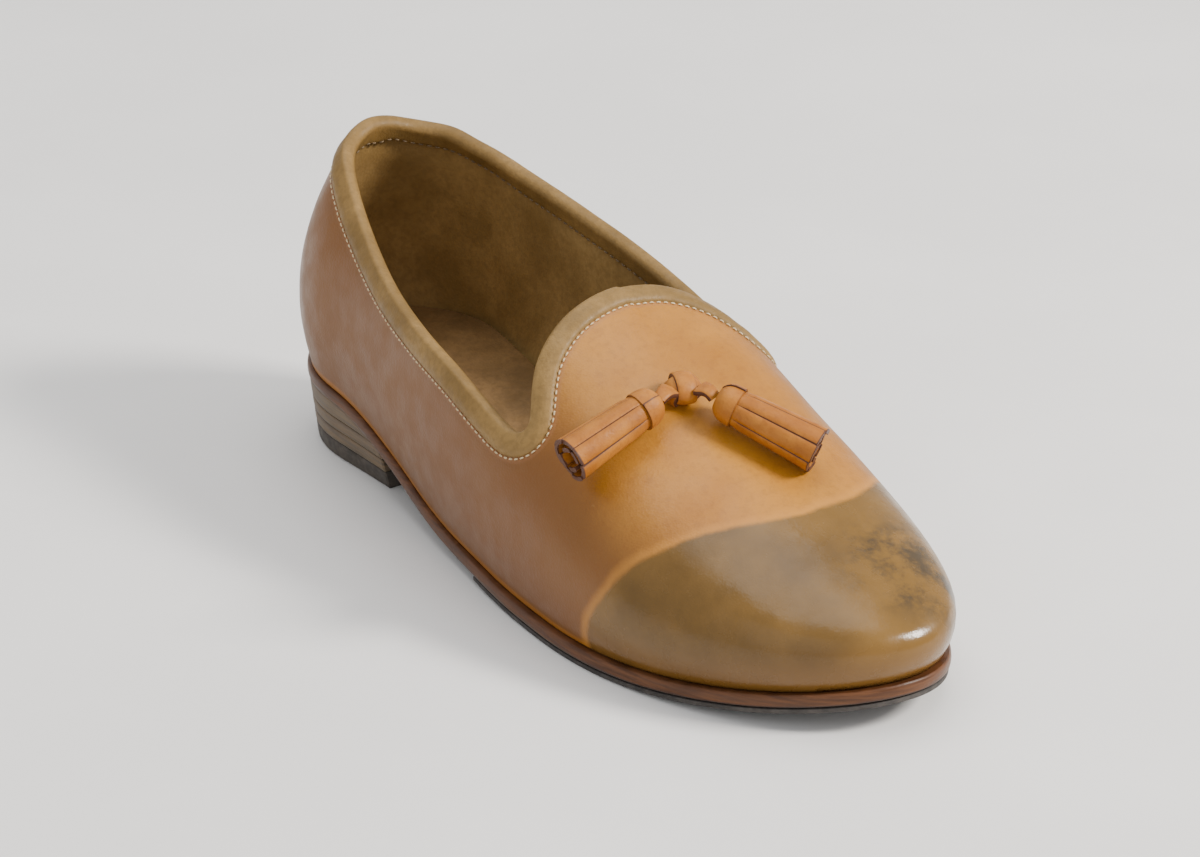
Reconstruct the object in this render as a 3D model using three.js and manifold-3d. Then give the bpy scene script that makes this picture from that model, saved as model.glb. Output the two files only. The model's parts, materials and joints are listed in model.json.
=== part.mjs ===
// Tassel slip-on loafer, one right shoe, in millimetres with +Z up.
// The heel is at +Y and the toe at -Y; -X is the outer (lateral) side of the foot.
import * as THREE from "three";
import { mergeVertices } from "three/addons/utils/BufferGeometryUtils.js";
import Module from "manifold-3d";

// ---------- driving dimensions ----------
const LENGTH = 257;          // upper, heel back to toe tip
const UPPER = 1.3;           // upper leather
const STIFFENER = 0.7;       // heel counter and toe puff
const LINING = 0.8;          // lining leather
const GAP = 0.3;             // clearance between neighbouring layers
const SEAM = 0.2;            // clearance between flat stacked layers
const LASTING = 12;          // width of the upper turned in under the insole
const OUTSOLE = 3.5;         // leather outsole
const HALF_SOLE_START = 126; // distance of its back edge from the heel back
const BREAST = 62;           // heel block ends here
const TOP_PIECE = 5.2;       // rubber heel tip
const LIFT = 4.0;            // one level heel lift
const BAND = 5.5;            // topline binding, height of its legs
const BAND_SKIN = 0.8;       // topline binding, leather thickness
const TASSEL_R = 5.0;        // fringe radius at the collar
const FLARE = 1.25;          // the fringe is this much wider at its free end
const FRINGE = 23;           // free length of the strands
const STRANDS = 7;

const COLUMNS = 28;          // mesh columns per side of the shoe
const ROWS = 11;             // mesh rows from sole edge to topline
const ACROSS = 4;            // mesh cells across a bent sole layer

// Tables of [distance from the heel back, value]; values between are smooth.
// SEAT is the height of the upper's edge, TILT its sideways slope, EQUATOR the height
// above the seat where the shoe is widest, RIDGE the sideways shift of the top line.
const SEAT = [[0, 24.5], [45, 22.5], [75, 18], [120, 9], [150, 6], [175, 5.5], [200, 6],
  [228, 8.7], [257, 13.5]];
const TILT = [[0, 0], [30, 0], [45, 0], [90, 0.12], [130, 0.03], [155, 0], [170, 0], [257, 0]];
const EQUATOR = [[0, 18], [50, 20], [100, 26], [140, 20], [180, 11], [257, 9]];
const RIDGE = [[0, 0], [60, 0], [120, 2], [180, 4], [257, 4]];
// Heel back leans forward: [height above the seat, forward shift].
const BACK = [[0, 3], [10, 0.6], [18, 0], [30, 1.5], [45, 7], [64, 18], [90, 36]];

// Each side of the shoe: half widths at the sole edge and at the widest height,
// height of the closed section, its roundness, and where the toe starts to close.
const LATERAL = {
  sign: -1,
  edge: [[0, 30], [38, 30.5], [75, 33], [110, 38], [150, 43.5], [178, 45], [257, 44]],
  widest: [[0, 32.5], [38, 32.5], [75, 37], [110, 42.5], [150, 46], [178, 47], [257, 46]],
  crown: [[0, 99], [13, 98], [30, 90], [55, 87.5], [94, 86.5], [115, 86], [131, 76],
    [150, 68.5], [180, 55], [210, 43], [257, 34]],
  power: 2.2,
  toe: 165,
  notch: 12,
  topline: [[0, 16, 88.5], [-9, 18, 88.3], [-15.5, 24, 86.5], [-22, 38, 78.5], [-28, 56, 70],
    [-33, 74, 64], [-37, 94, 60], [-40, 115, 56.8], [-41.2, 130, 53], [-40.3, 141, 49], [-38.5, 146.5, 48.5],
    [-36.5, 148, 51], [-33, 143.5, 57], [-28, 138, 63.6], [-18, 133.5, 70], [-6, 131.5, 74], [3, 131, 74.5]],
};
const MEDIAL = {
  sign: 1,
  edge: [[0, 29.5], [38, 29.5], [75, 25], [110, 24.5], [150, 35], [182, 39.5], [257, 38.5]],
  widest: [[0, 31.5], [38, 31.5], [75, 33.5], [110, 37.5], [148, 42], [182, 42.5], [257, 41]],
  crown: [[0, 98], [11, 97], [25, 93], [45, 93.5], [75, 93.6], [96, 91.5], [118, 83.4], [131, 75.5],
    [150, 68.5], [180, 55], [210, 43], [257, 34]],
  power: 2.8,
  toe: 182,
  notch: 12,
  topline: [[0, 16, 88.5], [9, 17, 88.6], [16, 22, 86.5], [21, 33, 84], [25.5, 50, 80.5], [29.5, 74, 75],
    [33, 96, 69.3], [35.5, 119, 62.5], [37, 136, 56.5], [37.5, 145, 53.8], [36.5, 150, 54],
    [33.9, 149, 57.5], [30, 144.5, 63], [24.5, 138.5, 68.6], [14, 133, 72.8], [3, 131, 74.5]],
};
const HEEL_ROUND = 36;       // the heel end is round over this length
const TOE_DROP = 205;        // the toe profile drops from here
const SPINE = [38, 205];     // rays that find the surface start on this line
const TUCK = 3.5;            // the toe edge turns in under the widest line

const KNOT = [-5, 168];      // tassel knot on the vamp (across, along)
const TASSELS = [
  { name: "lateral", toward: [-1, 0.14] },
  { name: "medial", toward: [0.53, 1] },
];
const TASSEL_TOUCH = 15;     // a tassel lies closest to the vamp this far from the knot
const NECK_START = 7.6;      // its pivot is this far from the knot
const NECK = 7;              // pivot to strands: tapered wrap and collar
const TAPER = 2.2;           // length of the tapered part
const PIVOT_BALL = 1.6;      // round end of the lace inside the wrap
const LACE_R = 1.2;

// ---------- small maths ----------
const clamp = (v, lo, hi) => Math.min(Math.max(v, lo), hi);
const lerp = (a, b, t) => a + (b - a) * t;

function smooth(table, at) {
  const last = table.length - 1;
  const s = clamp(at, table[0][0], table[last][0]);
  let k = 0;
  while (k < last - 1 && s >= table[k + 1][0]) k += 1;
  const slope = (i) => (table[i + 1][1] - table[i][1]) / (table[i + 1][0] - table[i][0]);
  const step = (i) => table[i + 1][0] - table[i][0];
  const tangent = (i) => {
    if (i === 0) return slope(0);
    if (i === last) return slope(last - 1);
    return (slope(i - 1) * step(i) + slope(i) * step(i - 1)) / (step(i - 1) + step(i));
  };
  const h = step(k);
  const t = (s - table[k][0]) / h;
  const u = 1 - t;
  return table[k][1] * (1 + 2 * t) * u * u + h * tangent(k) * t * u * u
    + table[k + 1][1] * t * t * (3 - 2 * t) - h * tangent(k + 1) * t * t * u;
}

// Width factor that falls from 1 at "from" to 0 at "to" like a quarter ellipse.
function closing(at, from, to, p = 2) {
  const t = clamp((at - from) / (to - from), 0, 1);
  return Math.sqrt(Math.max(1 - t ** p, 1e-9));
}

const seat = (x, s) => smooth(SEAT, s) + smooth(TILT, s) * x;

// ---------- the shoe form: below zero inside, above zero outside ----------
function form(x, s, z) {
  const widestZ = smooth(SEAT, s) + smooth(EQUATOR, s);
  const below = clamp((widestZ - z) / (widestZ - seat(x, s)), 0, 1.2);
  let along = s - smooth(BACK, z - smooth(SEAT, 0)) * clamp(1 - s / 90, 0, 1);
  const tuck = TUCK * below ** 2 * clamp((s - 100) / 100, 0, 1);
  along = LENGTH / 2 + (along - LENGTH / 2) / (1 - 2 * tuck / LENGTH);
  if (along <= 0 || along >= LENGTH) return 10;
  const heel = closing(HEEL_ROUND - along, 0, HEEL_ROUND);
  const ridge = smooth(RIDGE, along);
  const side = x > ridge ? MEDIAL : LATERAL;
  const wide = smooth(side.widest, along);
  const narrow = smooth(side.edge, along);
  const width = (wide - (wide - narrow) * below ** 2) * closing(along, side.toe, LENGTH) * heel
    - side.sign * ridge * closing(along, LATERAL.toe, LENGTH) * heel;
  const base = smooth(SEAT, along) + smooth(EQUATOR, along);
  const rise = (smooth(side.crown, along) - base) * closing(along, TOE_DROP, LENGTH, 2.2);
  return (Math.abs(x - ridge) / width) ** side.power
    + (Math.max(z - widestZ, 0) / Math.max(rise, 1e-6)) ** side.power - 1;
}

// Points are [x, s, z] until the meshes are made.
function surfacePoint(origin, guide) {
  const d = guide.map((v, i) => v - origin[i]);
  const size = Math.hypot(...d);
  let lo = 0;
  let hi = 200;
  for (let i = 0; i < 40; i += 1) {
    const mid = (lo + hi) / 2;
    const p = origin.map((v, k) => v + d[k] / size * mid);
    if (form(...p) < 0) lo = mid;
    else hi = mid;
  }
  return origin.map((v, k) => v + d[k] / size * (lo + hi) / 2);
}

function ontoSurface(guide) {
  const s = clamp(guide[1], SPINE[0], SPINE[1]);
  return surfacePoint([0, s, smooth(SEAT, s)], guide);
}

// Edge of the upper on the sole, one side, heel back to toe tip.
function soleEdge(side) {
  const rays = [];
  for (let i = 0; i < 40; i += 1) {
    const a = i / 40 * Math.PI / 2;
    rays.push([SPINE[0], side.sign * Math.sin(a), -Math.cos(a)]);
  }
  for (let i = 0; i < 90; i += 1) rays.push([lerp(SPINE[0], SPINE[1], i / 90), side.sign, 0]);
  for (let i = 0; i <= 50; i += 1) {
    const a = i / 50 * Math.PI / 2;
    rays.push([SPINE[1], side.sign * Math.cos(a), Math.sin(a)]);
  }
  return rays.map(([start, dx, ds]) => {
    let lo = 0;
    let hi = 120;
    for (let i = 0; i < 40; i += 1) {
      const mid = (lo + hi) / 2;
      const x = dx * mid;
      const s = start + ds * mid;
      if (form(x, s, seat(x, s)) < 0) lo = mid;
      else hi = mid;
    }
    const x = dx * lo;
    const s = start + ds * lo;
    return [x, s, seat(x, s)];
  });
}

function arcLengths(points) {
  const total = [0];
  for (let i = 1; i < points.length; i += 1) {
    total.push(total[i - 1] + Math.hypot(...points[i].map((v, k) => v - points[i - 1][k])));
  }
  return total;
}

function pointAt(points, lengths, want) {
  let i = 1;
  while (i < points.length - 1 && lengths[i] < want) i += 1;
  const t = clamp((want - lengths[i - 1]) / (lengths[i] - lengths[i - 1] || 1), 0, 1);
  return points[i].map((v, k) => lerp(points[i - 1][k], v, t));
}

function toplineCurve(side) {
  const knots = side.topline;
  const time = [0];
  for (let i = 1; i < knots.length; i += 1) {
    time.push(time[i - 1] + Math.sqrt(Math.hypot(...knots[i].map((v, k) => v - knots[i - 1][k]))));
  }
  const axes = [0, 1, 2].map((k) => knots.map((p, i) => [time[i], p[k]]));
  const points = [];
  for (let i = 0; i <= 200; i += 1) {
    const at = i / 200 * time[time.length - 1];
    points.push(ontoSurface(axes.map((table) => smooth(table, at))));
  }
  return points;
}

// Columns of surface points for one side, each from the sole edge to the topline.
function sideColumns(side) {
  const edge = soleEdge(side);
  const top = toplineCurve(side);
  const edgeArc = arcLengths(edge);
  const topArc = arcLengths(top);
  const edgeAll = edgeArc[edge.length - 1];
  const topAll = topArc[top.length - 1];
  const notch = top.reduce((best, p, i) => (p[1] > top[best][1] ? i : best), 0);
  const notchTop = topArc[notch] / topAll;
  const under = edge.findIndex((p) => p[1] > top[notch][1] + side.notch);
  const notchEdge = edgeArc[under] / edgeAll;
  // Half of the columns lie behind the notch and half of them in front of it.
  const edgeMatch = [[0, 0], [0.25, notchEdge * 0.52], [0.5, notchEdge], [1, 1]];
  const topMatch = [[0, 0], [0.25, notchTop * 0.5], [0.5, notchTop], [1, 1]];
  const columns = [];
  for (let c = 0; c <= COLUMNS; c += 1) {
    const u = c / COLUMNS;
    const low = pointAt(edge, edgeArc, smooth(edgeMatch, u) * edgeAll);
    const high = pointAt(top, topArc, smooth(topMatch, u) * topAll);
    const line = [];
    for (let i = 0; i <= 60; i += 1) line.push(ontoSurface(low.map((v, k) => lerp(v, high[k], i / 60))));
    const arc = arcLengths(line);
    const length = arc[60];
    const column = [];
    for (let r = 0; r < ROWS - 1; r += 1) {
      column.push(pointAt(line, arc, (length - BAND) * (r / (ROWS - 2)) ** 1.3));
    }
    column.push(line[60]);
    columns.push(column);
  }
  return columns;
}

// All columns in one loop: heel back, outer side, toe tip, inner side.
function wallColumns() {
  const outer = sideColumns(LATERAL);
  const inner = sideColumns(MEDIAL).reverse();
  return [...outer, ...inner.slice(1, -1)];
}

const wall = wallColumns();
const LOOP = wall.length;
const TOE_COLUMN = COLUMNS;
const column = (c) => wall[(c + LOOP) % LOOP];

const vec = (a) => new THREE.Vector3(...a);

const wallNormals = wall.map((_, c) => column(c).map((_p, r) => {
  const across = vec(column(c + 1)[r]).sub(vec(column(c - 1)[r]));
  const up = vec(column(c)[Math.min(r + 1, ROWS - 1)]).sub(vec(column(c)[Math.max(r - 1, 0)]));
  const n = across.cross(up).normalize();
  return n.toArray();
}));
// Turn every normal outward if the loop runs the other way round.
const OUTWARD = wallNormals[0][4][1] < 0 ? 1 : -1;

// Wall point moved inward by depth; the lowest row stays above the floor height.
function inside(c, r, depth, floor = null) {
  const p = column(c)[r];
  const n = wallNormals[(c + LOOP) % LOOP][r];
  const q = p.map((v, k) => v - OUTWARD * n[k] * depth);
  if (r === 0 && floor !== null) q[2] = seat(q[0], q[1]) + floor;
  return q;
}

// Sole edge point moved inward in plan.
function inPlan(c, distance) {
  const before = column(c - 1)[0];
  const after = column(c + 1)[0];
  const p = column(c)[0];
  const dx = after[0] - before[0];
  const ds = after[1] - before[1];
  const size = Math.hypot(dx, ds);
  const x = p[0] + ds / size * distance;
  const s = p[1] - dx / size * distance;
  return [x, s];
}

// ---------- mesh helpers ----------
const Y0 = LENGTH / 2;
const toWorld = (p) => [p[0], Y0 - p[1], p[2]];

function meshData(points, triangles) {
  const positions = points.flatMap((p) => toWorld(p));
  let volume = 0;
  triangles.forEach(([a, b, c]) => {
    const [pa, pb, pc] = [a, b, c].map((i) => new THREE.Vector3(...positions.slice(3 * i, 3 * i + 3)));
    volume += pa.dot(pb.cross(pc));
  });
  const ordered = volume < 0 ? triangles.map(([a, b, c]) => [a, c, b]) : triangles;
  return { positions, index: ordered.flat() };
}

// Rings of equal size joined in order; closed into a loop, or capped by strips.
// From ring position "back" on, the cells are split along their other diagonal, so
// that the inner face of one layer has the same folds as the outer face of the next.
function loft(rings, loop, back = Infinity) {
  const size = rings[0].length;
  const triangles = [];
  const last = loop ? rings.length : rings.length - 1;
  for (let i = 0; i < last; i += 1) {
    const j = (i + 1) % rings.length;
    for (let k = 0; k < size; k += 1) {
      const m = (k + 1) % size;
      const [a, b, c, d] = [i * size + k, j * size + k, j * size + m, i * size + m];
      if (k < back) triangles.push([a, b, c], [a, c, d]);
      else triangles.push([a, b, d], [b, c, d]);
    }
  }
  if (!loop) {
    for (const [start, flip] of [[0, false], [(rings.length - 1) * size, true]]) {
      for (let k = 0; k < size / 2 - 1; k += 1) {
        const quad = [k, k + 1, size - 2 - k, size - 1 - k].map((v) => start + v);
        const cap = [[quad[0], quad[1], quad[2]], [quad[0], quad[2], quad[3]]];
        cap.forEach(([a, b, c]) => triangles.push(flip ? [a, c, b] : [a, b, c]));
      }
    }
  }
  return meshData(rings.flat(), triangles);
}

function toGeometry(data) {
  const geometry = new THREE.BufferGeometry();
  geometry.setAttribute("position", new THREE.Float32BufferAttribute(data.positions, 3));
  geometry.setIndex([...data.index]);
  geometry.computeVertexNormals();
  return geometry;
}

const wasm = await Module();
wasm.setup();

function toSolid(data) {
  return new wasm.Manifold(new wasm.Mesh({
    numProp: 3,
    vertProperties: new Float32Array(data.positions),
    triVerts: new Uint32Array(data.index),
  }));
}

function fromSolid(solid) {
  const mesh = solid.getMesh();
  const positions = [];
  for (let i = 0; i < mesh.numVert; i += 1) {
    for (let k = 0; k < 3; k += 1) positions.push(mesh.vertProperties[i * mesh.numProp + k]);
  }
  return { positions, index: Array.from(mesh.triVerts) };
}

// A closed solid from a three.js shape, moved into place.
function shapeSolid(shape, place = new THREE.Matrix4()) {
  shape.deleteAttribute("normal");
  shape.deleteAttribute("uv");
  const merged = mergeVertices(shape, 1e-3).applyMatrix4(place);
  return toSolid({ positions: merged.attributes.position.array, index: merged.index.array });
}

// Several shapes moved into place and joined into one body.
function joined(shapes, place) {
  const solids = shapes.map((shape) => shapeSolid(shape, place));
  return fromSolid(solids.reduce((whole, solid) => whole.add(solid)));
}

// Upright round post, standing at height low.
function post(low, length, radius, sides, topRadius = radius) {
  return new THREE.CylinderGeometry(topRadius, radius, length, sides)
    .rotateX(Math.PI / 2)
    .translate(0, 0, low + length / 2);
}

const shoe = new THREE.Group();
shoe.name = "loafer";

// A named piece: colour, roughness and metalness together are its finish.
const leather = (color) => ({ color, roughness: 0.5, metalness: 0 });
const rubber = (color) => ({ color, roughness: 0.8, metalness: 0 });
const board = (color) => ({ color, roughness: 0.9, metalness: 0 });
const metal = (color) => ({ color, roughness: 0.35, metalness: 1 });

function add(name, finish, data) {
  const material = new THREE.MeshStandardMaterial(finish);
  material.name = `${name}_finish`;
  const mesh = new THREE.Mesh(toGeometry(data), material);
  mesh.name = name;
  shoe.add(mesh);
  return mesh;
}

// ---------- sole and heel ----------
// Plan outline of the upper's edge moved outward by margin(s), one side.
function planOutline(side, margin) {
  const edge = soleEdge(side);
  return edge.map((p, i) => {
    const a = edge[Math.max(i - 1, 0)];
    const b = edge[Math.min(i + 1, edge.length - 1)];
    const size = Math.hypot(b[0] - a[0], b[1] - a[1]);
    const out = margin(p[1]);
    const nx = side.sign * (b[1] - a[1]) / size;
    const ns = -side.sign * (b[0] - a[0]) / size;
    return [p[0] + nx * out, p[1] + ns * out];
  });
}

function widthAt(outline, s) {
  let i = 1;
  while (i < outline.length - 1 && outline[i][1] < s) i += 1;
  const [a, b] = [outline[i - 1], outline[i]];
  return lerp(a[0], b[0], clamp((s - a[1]) / (b[1] - a[1] || 1), 0, 1));
}

// Stations along the shoe, closer together where the ends are round.
function stations(from, to, count, roundStart, roundEnd) {
  const list = [];
  for (let i = 0; i <= count; i += 1) {
    let t = i / count;
    if (roundStart && roundEnd) t = (1 - Math.cos(Math.PI * t)) / 2;
    else if (roundStart) t = 1 - Math.cos(Math.PI / 2 * t);
    else if (roundEnd) t = Math.sin(Math.PI / 2 * t);
    list.push(lerp(from, to, t));
  }
  return list;
}

// One cross-section of a layer: bottom points left to right, top points back again.
function crossBand(left, right, s, bottom, top, cells = 1) {
  const xs = [];
  for (let i = 0; i <= cells; i += 1) xs.push(lerp(left, right, i / cells));
  return [...xs.map((x) => [x, s, bottom(x, s)]), ...xs.reverse().map((x) => [x, s, top(x, s)])];
}

// A flat or gently bent layer: outline by margin, bottom and top heights by place.
function layer({ margin, from = -Infinity, to = Infinity, count = 30, cells = 1, bottom, top }) {
  const outer = planOutline(LATERAL, margin);
  const inner = planOutline(MEDIAL, margin);
  const start = Math.max(from, outer[0][1] + 0.06);
  const end = Math.min(to, outer[outer.length - 1][1] - 0.06);
  const rows = stations(start, end, count, from === -Infinity, to === Infinity);
  const rings = rows.map((s) => crossBand(widthAt(outer, s), widthAt(inner, s), s, bottom, top, cells));
  return loft(rings, false);
}

const weltMargin = (s) => smooth([[0, 0.9], [60, 0.9], [100, 1.2], [150, 1.9], [257, 2.0]], s);
const soleTop = (x, s) => seat(x, s) - GAP;
const soleBottom = (x, s) => soleTop(x, s) - OUTSOLE;
const SOLE_FINISH = leather(0x8a4b2e);
const HEEL_FINISH = leather(0x6f5d45);
const NAIL_HOLE_R = 1.05;
const NAIL_R = 0.85;
const NAIL_SUNK = 0.3;       // nail heads lie this far above the ground face
// The rubber half sole makes up the rest of the height down to the ground line.
const HALF_BOTTOM = 5.5;

function soleAndHeel() {
  add("outsole", SOLE_FINISH, layer({
    margin: weltMargin, count: 34, cells: ACROSS, bottom: soleBottom, top: soleTop,
  }));
  add("half_sole", rubber(0x2c2622), layer({
    margin: (s) => weltMargin(s) - GAP,
    from: HALF_SOLE_START,
    count: 20,
    cells: ACROSS,
    bottom: (x, s) => seat(x, s) - HALF_BOTTOM,
    top: (x, s) => soleBottom(x, s) - GAP,
  }));
  let tipSolid = toSolid(heelLayer(TOP_PIECE / 2, flat(0), flat(TOP_PIECE)));
  nailPlaces().forEach(([x, s]) => {
    tipSolid = tipSolid.subtract(nail(x, s, NAIL_HOLE_R, -1, TOP_PIECE + 1));
  });
  add("heel_top_piece", rubber(0x3a3029), fromSolid(tipSolid));
  nailPlaces().forEach(([x, s], i) => {
    add(`heel_nail_${i + 1}`, metal(0xb08d4c), fromSolid(nail(x, s, NAIL_R, NAIL_SUNK, TOP_PIECE)));
  });
  for (let i = 0; i < LEVEL_LIFTS; i += 1) {
    const low = TOP_PIECE + SEAM + i * (LIFT + SEAM);
    add(`heel_lift_${i + 1}`, HEEL_FINISH, heelLayer(low + LIFT / 2, flat(low), flat(low + LIFT)));
  }
  // The uppermost lift is a wedge that fills up to the sloping sole.
  const wedge = TOP_PIECE + SEAM + LEVEL_LIFTS * (LIFT + SEAM);
  const wedgeTop = (x, s) => soleBottom(x, s) - SEAM;
  add(`heel_lift_${LEVEL_LIFTS + 1}`, HEEL_FINISH, heelLayer(wedge + 2.5, flat(wedge), wedgeTop));
}

const LEVEL_LIFTS = 2;
const flat = (z) => () => z;

// One layer of the heel block, which narrows downward, more at the breast than behind.
function heelLayer(middle, bottom, top) {
  const narrowing = (20 - middle) / 20;
  const margin = (s) => 0.7 - narrowing * (1.2 + 4.0 * clamp(s / BREAST, 0, 1));
  return layer({ margin, to: BREAST, count: 14, bottom, top });
}

// Five nails in a horseshoe around the heel tip.
function nailPlaces() {
  return [-2, -1, 0, 1, 2].map((k) => {
    const a = k * 0.72;
    return [18 * Math.sin(a), 32 - 22 * Math.cos(a)];
  });
}

function nail(x, s, radius, low, high) {
  return shapeSolid(post(low, high - low, radius, 10).translate(x, Y0 - s, 0));
}

// ---------- inside the bottom ----------
const INSOLE_LOW = UPPER + GAP;
const INSOLE = 2.0;
const SOCK_LOW = INSOLE_LOW + INSOLE + GAP;
const SOCK = 1.0;
const LINER_EDGE = UPPER + GAP + STIFFENER + GAP + LINING;

// The insole stays clear of the lining, with more room where the toe closes down.
const insoleMargin = (s) => -(LINER_EDGE + 1.3 + 2.3 * clamp((s - 226) / 30, 0, 1));
const sockMargin = (s) => insoleMargin(s) - GAP;

function bottomLayers() {
  add("bottom_filler", board(0xb98b5e), layer({
    margin: () => -(LASTING + 0.8),
    from: 132,
    to: 232,
    count: 14,
    cells: ACROSS,
    bottom: (x, s) => seat(x, s) + SEAM,
    top: (x, s) => seat(x, s) + UPPER,
  }));
  add("shank", metal(0x8d9297), shankStrip());
  add("insole", board(0xcaa97a), layer({
    margin: insoleMargin,
    cells: ACROSS,
    bottom: (x, s) => seat(x, s) + INSOLE_LOW,
    top: (x, s) => seat(x, s) + INSOLE_LOW + INSOLE,
  }));
  add("sock_lining", leather(0x4f4326), layer({
    margin: sockMargin,
    cells: ACROSS,
    bottom: (x, s) => seat(x, s) + SOCK_LOW,
    top: (x, s) => seat(x, s) + SOCK_LOW + SOCK,
  }));
}

// Spring-steel strip under the arch, set between the turned-in edges.
function shankStrip() {
  const rings = stations(34, 126, 12, false, false).map((s) => {
    const middle = smooth([[34, 0], [90, -5], [126, -3]], s);
    return crossBand(middle - 6, middle + 6, s, (x) => seat(x, s) + SEAM, (x) => seat(x, s) + UPPER);
  });
  return loft(rings, false);
}

// ---------- upper, stiffeners, lining, binding ----------
function upperShell() {
  const rings = wall.map((_, c) => {
    const outside = column(c).map((p) => [...p]);
    const within = column(c).map((_p, r) => inside(c, r, UPPER, UPPER));
    const [x, s] = inPlan(c, LASTING * PLAN_IN);
    const lip = seat(x, s);
    return [...outside, ...within.reverse(), [x, s, lip + UPPER], [x, s, lip]];
  });
  return loft(rings, true, ROWS);
}

// Which way "in" is, so that the turned-in edge goes under the foot.
const HALFWAY = Math.floor(COLUMNS / 2);
const PLAN_IN = Math.abs(inPlan(HALFWAY, 5)[0]) < Math.abs(column(HALFWAY)[0][0]) ? 1 : -1;

// Part of a layer between two columns and two rows, from depth to depth + thick.
function shellPatch(first, last, topRow, depth, thick, ease = 0) {
  const rings = [];
  for (let c = first; c <= last; c += 1) {
    const ring = [];
    for (let r = 0; r <= topRow; r += 1) ring.push(inside(c, r, depthAt(depth, r), INSOLE_LOW));
    for (let r = topRow; r >= 0; r -= 1) ring.push(inside(c, r, depthAt(depth, r) + thick, INSOLE_LOW));
    rings.push(ring);
  }
  // Pull the end columns in a little so that neighbours do not touch.
  const pull = (end, next) => end.map((p, i) => p.map((v, k) => lerp(v, next[i][k], ease)));
  rings[0] = pull(rings[0], rings[1]);
  rings[rings.length - 1] = pull(rings[rings.length - 1], rings[rings.length - 2]);
  return loft(rings, false, topRow + 1);
}

// The lining lies close to the upper near the topline and clears the stiffeners below.
function depthAt(depth, r) {
  return depth === "lining" ? UPPER + GAP + (r < ROWS - 2 ? STIFFENER + GAP : 0) : depth;
}

const COUNTER_SPAN = 6;      // columns each side of the heel back
const PUFF_SPAN = 5;         // columns each side of the toe tip
const LINING_SEAM = 12;      // column where the two linings meet, behind the notch
const STIFFENER_FINISH = board(0xd8cbb2);
const LINING_FINISH = leather(0xb8a06a);

function uppersAndLinings() {
  let upper = toSolid(upperShell());
  thongHoles().forEach((hole) => {
    upper = upper.subtract(hole);
  });
  add("upper", leather(0xb9763c), fromSolid(upper));
  const behind = UPPER + GAP;
  const counter = shellPatch(-COUNTER_SPAN, COUNTER_SPAN, ROWS - 5, behind, STIFFENER);
  add("heel_counter", STIFFENER_FINISH, counter);
  const puff = shellPatch(TOE_COLUMN - PUFF_SPAN, TOE_COLUMN + PUFF_SPAN, 4, behind, STIFFENER);
  add("toe_puff", STIFFENER_FINISH, puff);
  const vamp = shellPatch(LINING_SEAM, LOOP - LINING_SEAM, ROWS - 1, "lining", LINING, 0.04);
  add("vamp_lining", LINING_FINISH, vamp);
  const quarter = shellPatch(-LINING_SEAM, LINING_SEAM, ROWS - 1, "lining", LINING, 0.04);
  add("quarter_lining", LINING_FINISH, quarter);
  add("topline_binding", leather(0xa8965f), bindingBand());
}

// Folded strip over the top edge of upper and lining.
function bindingBand() {
  const out = BAND_SKIN + GAP;
  const gripIn = UPPER + GAP + LINING + GAP;
  const rings = wall.map((_, c) => {
    const top = column(c)[ROWS - 1];
    const low = column(c)[ROWS - 2];
    const up = vec(top).sub(vec(low)).normalize();
    const n = vec(wallNormals[c][ROWS - 1]).multiplyScalar(OUTWARD);
    const atTop = (side, rise) => vec(top).addScaledVector(n, side).addScaledVector(up, rise).toArray();
    const atLow = (side) => inside(c, ROWS - 2, -side);
    return [
      atLow(out), atTop(out, 0.1), atTop(out - 0.5, 0.9), atTop(-0.7, 1.4), atTop(-gripIn + 0.2, 1.2),
      atTop(-gripIn - BAND_SKIN, 0.2), atLow(-gripIn - BAND_SKIN),
      atLow(-gripIn), atTop(-gripIn, 0.1), atTop(-gripIn / 2, 0.35), atTop(GAP, 0.1), atLow(GAP),
    ];
  });
  return loft(rings, true, 9);
}

// ---------- knot and tassels ----------
function frameAt(x, s) {
  const at = ontoTop(x, s);
  const ahead = ontoTop(x, s + 1.5);
  const right = ontoTop(x + 1.5, s);
  const along = vec(toWorld(ahead)).sub(vec(toWorld(at))).normalize();
  const across = vec(toWorld(right)).sub(vec(toWorld(at))).normalize();
  const normal = along.clone().cross(across).normalize();
  if (normal.z < 0) normal.negate();
  return { at: vec(toWorld(at)), along, across, normal };
}

// Vamp surface straight above a plan position.
function ontoTop(x, s) {
  let lo = smooth(SEAT, s) + smooth(EQUATOR, s);
  let hi = 120;
  for (let i = 0; i < 40; i += 1) {
    const mid = (lo + hi) / 2;
    if (form(x, s, mid) < 0) lo = mid;
    else hi = mid;
  }
  return [x, s, (lo + hi) / 2];
}

const knotFrame = frameAt(...KNOT);
const HOLE_APART = 3.2;      // each hole is this far from the knot centre
const THONG_R = 1.1;

// Matrix of a local frame: x across, y along, z out of the surface.
function placeOn({ at, across, normal }) {
  const y = new THREE.Vector3().crossVectors(normal, across).normalize();
  return new THREE.Matrix4().makeBasis(across, y, normal).setPosition(at);
}

function thongHoles() {
  return [-1, 1].map((side) => {
    const hole = post(-UPPER - 0.9, UPPER + 3, THONG_R + 0.35, 12).translate(side * HOLE_APART, 0, 0);
    return shapeSolid(hole, placeOn(knotFrame));
  });
}

const KNOT_TOP = 7.2;        // height of the knot above the vamp
const KNOT_HALF = 5.6;       // half its width
const KNOT_THICK = 3.0;      // half its thickness
const LACE_OUT = 2.4;        // each lace end leaves this far below the top of the knot
const LACE_FINISH = leather(0xb5652f);
const COLLAR_FINISH = leather(0xc0743a);

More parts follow.
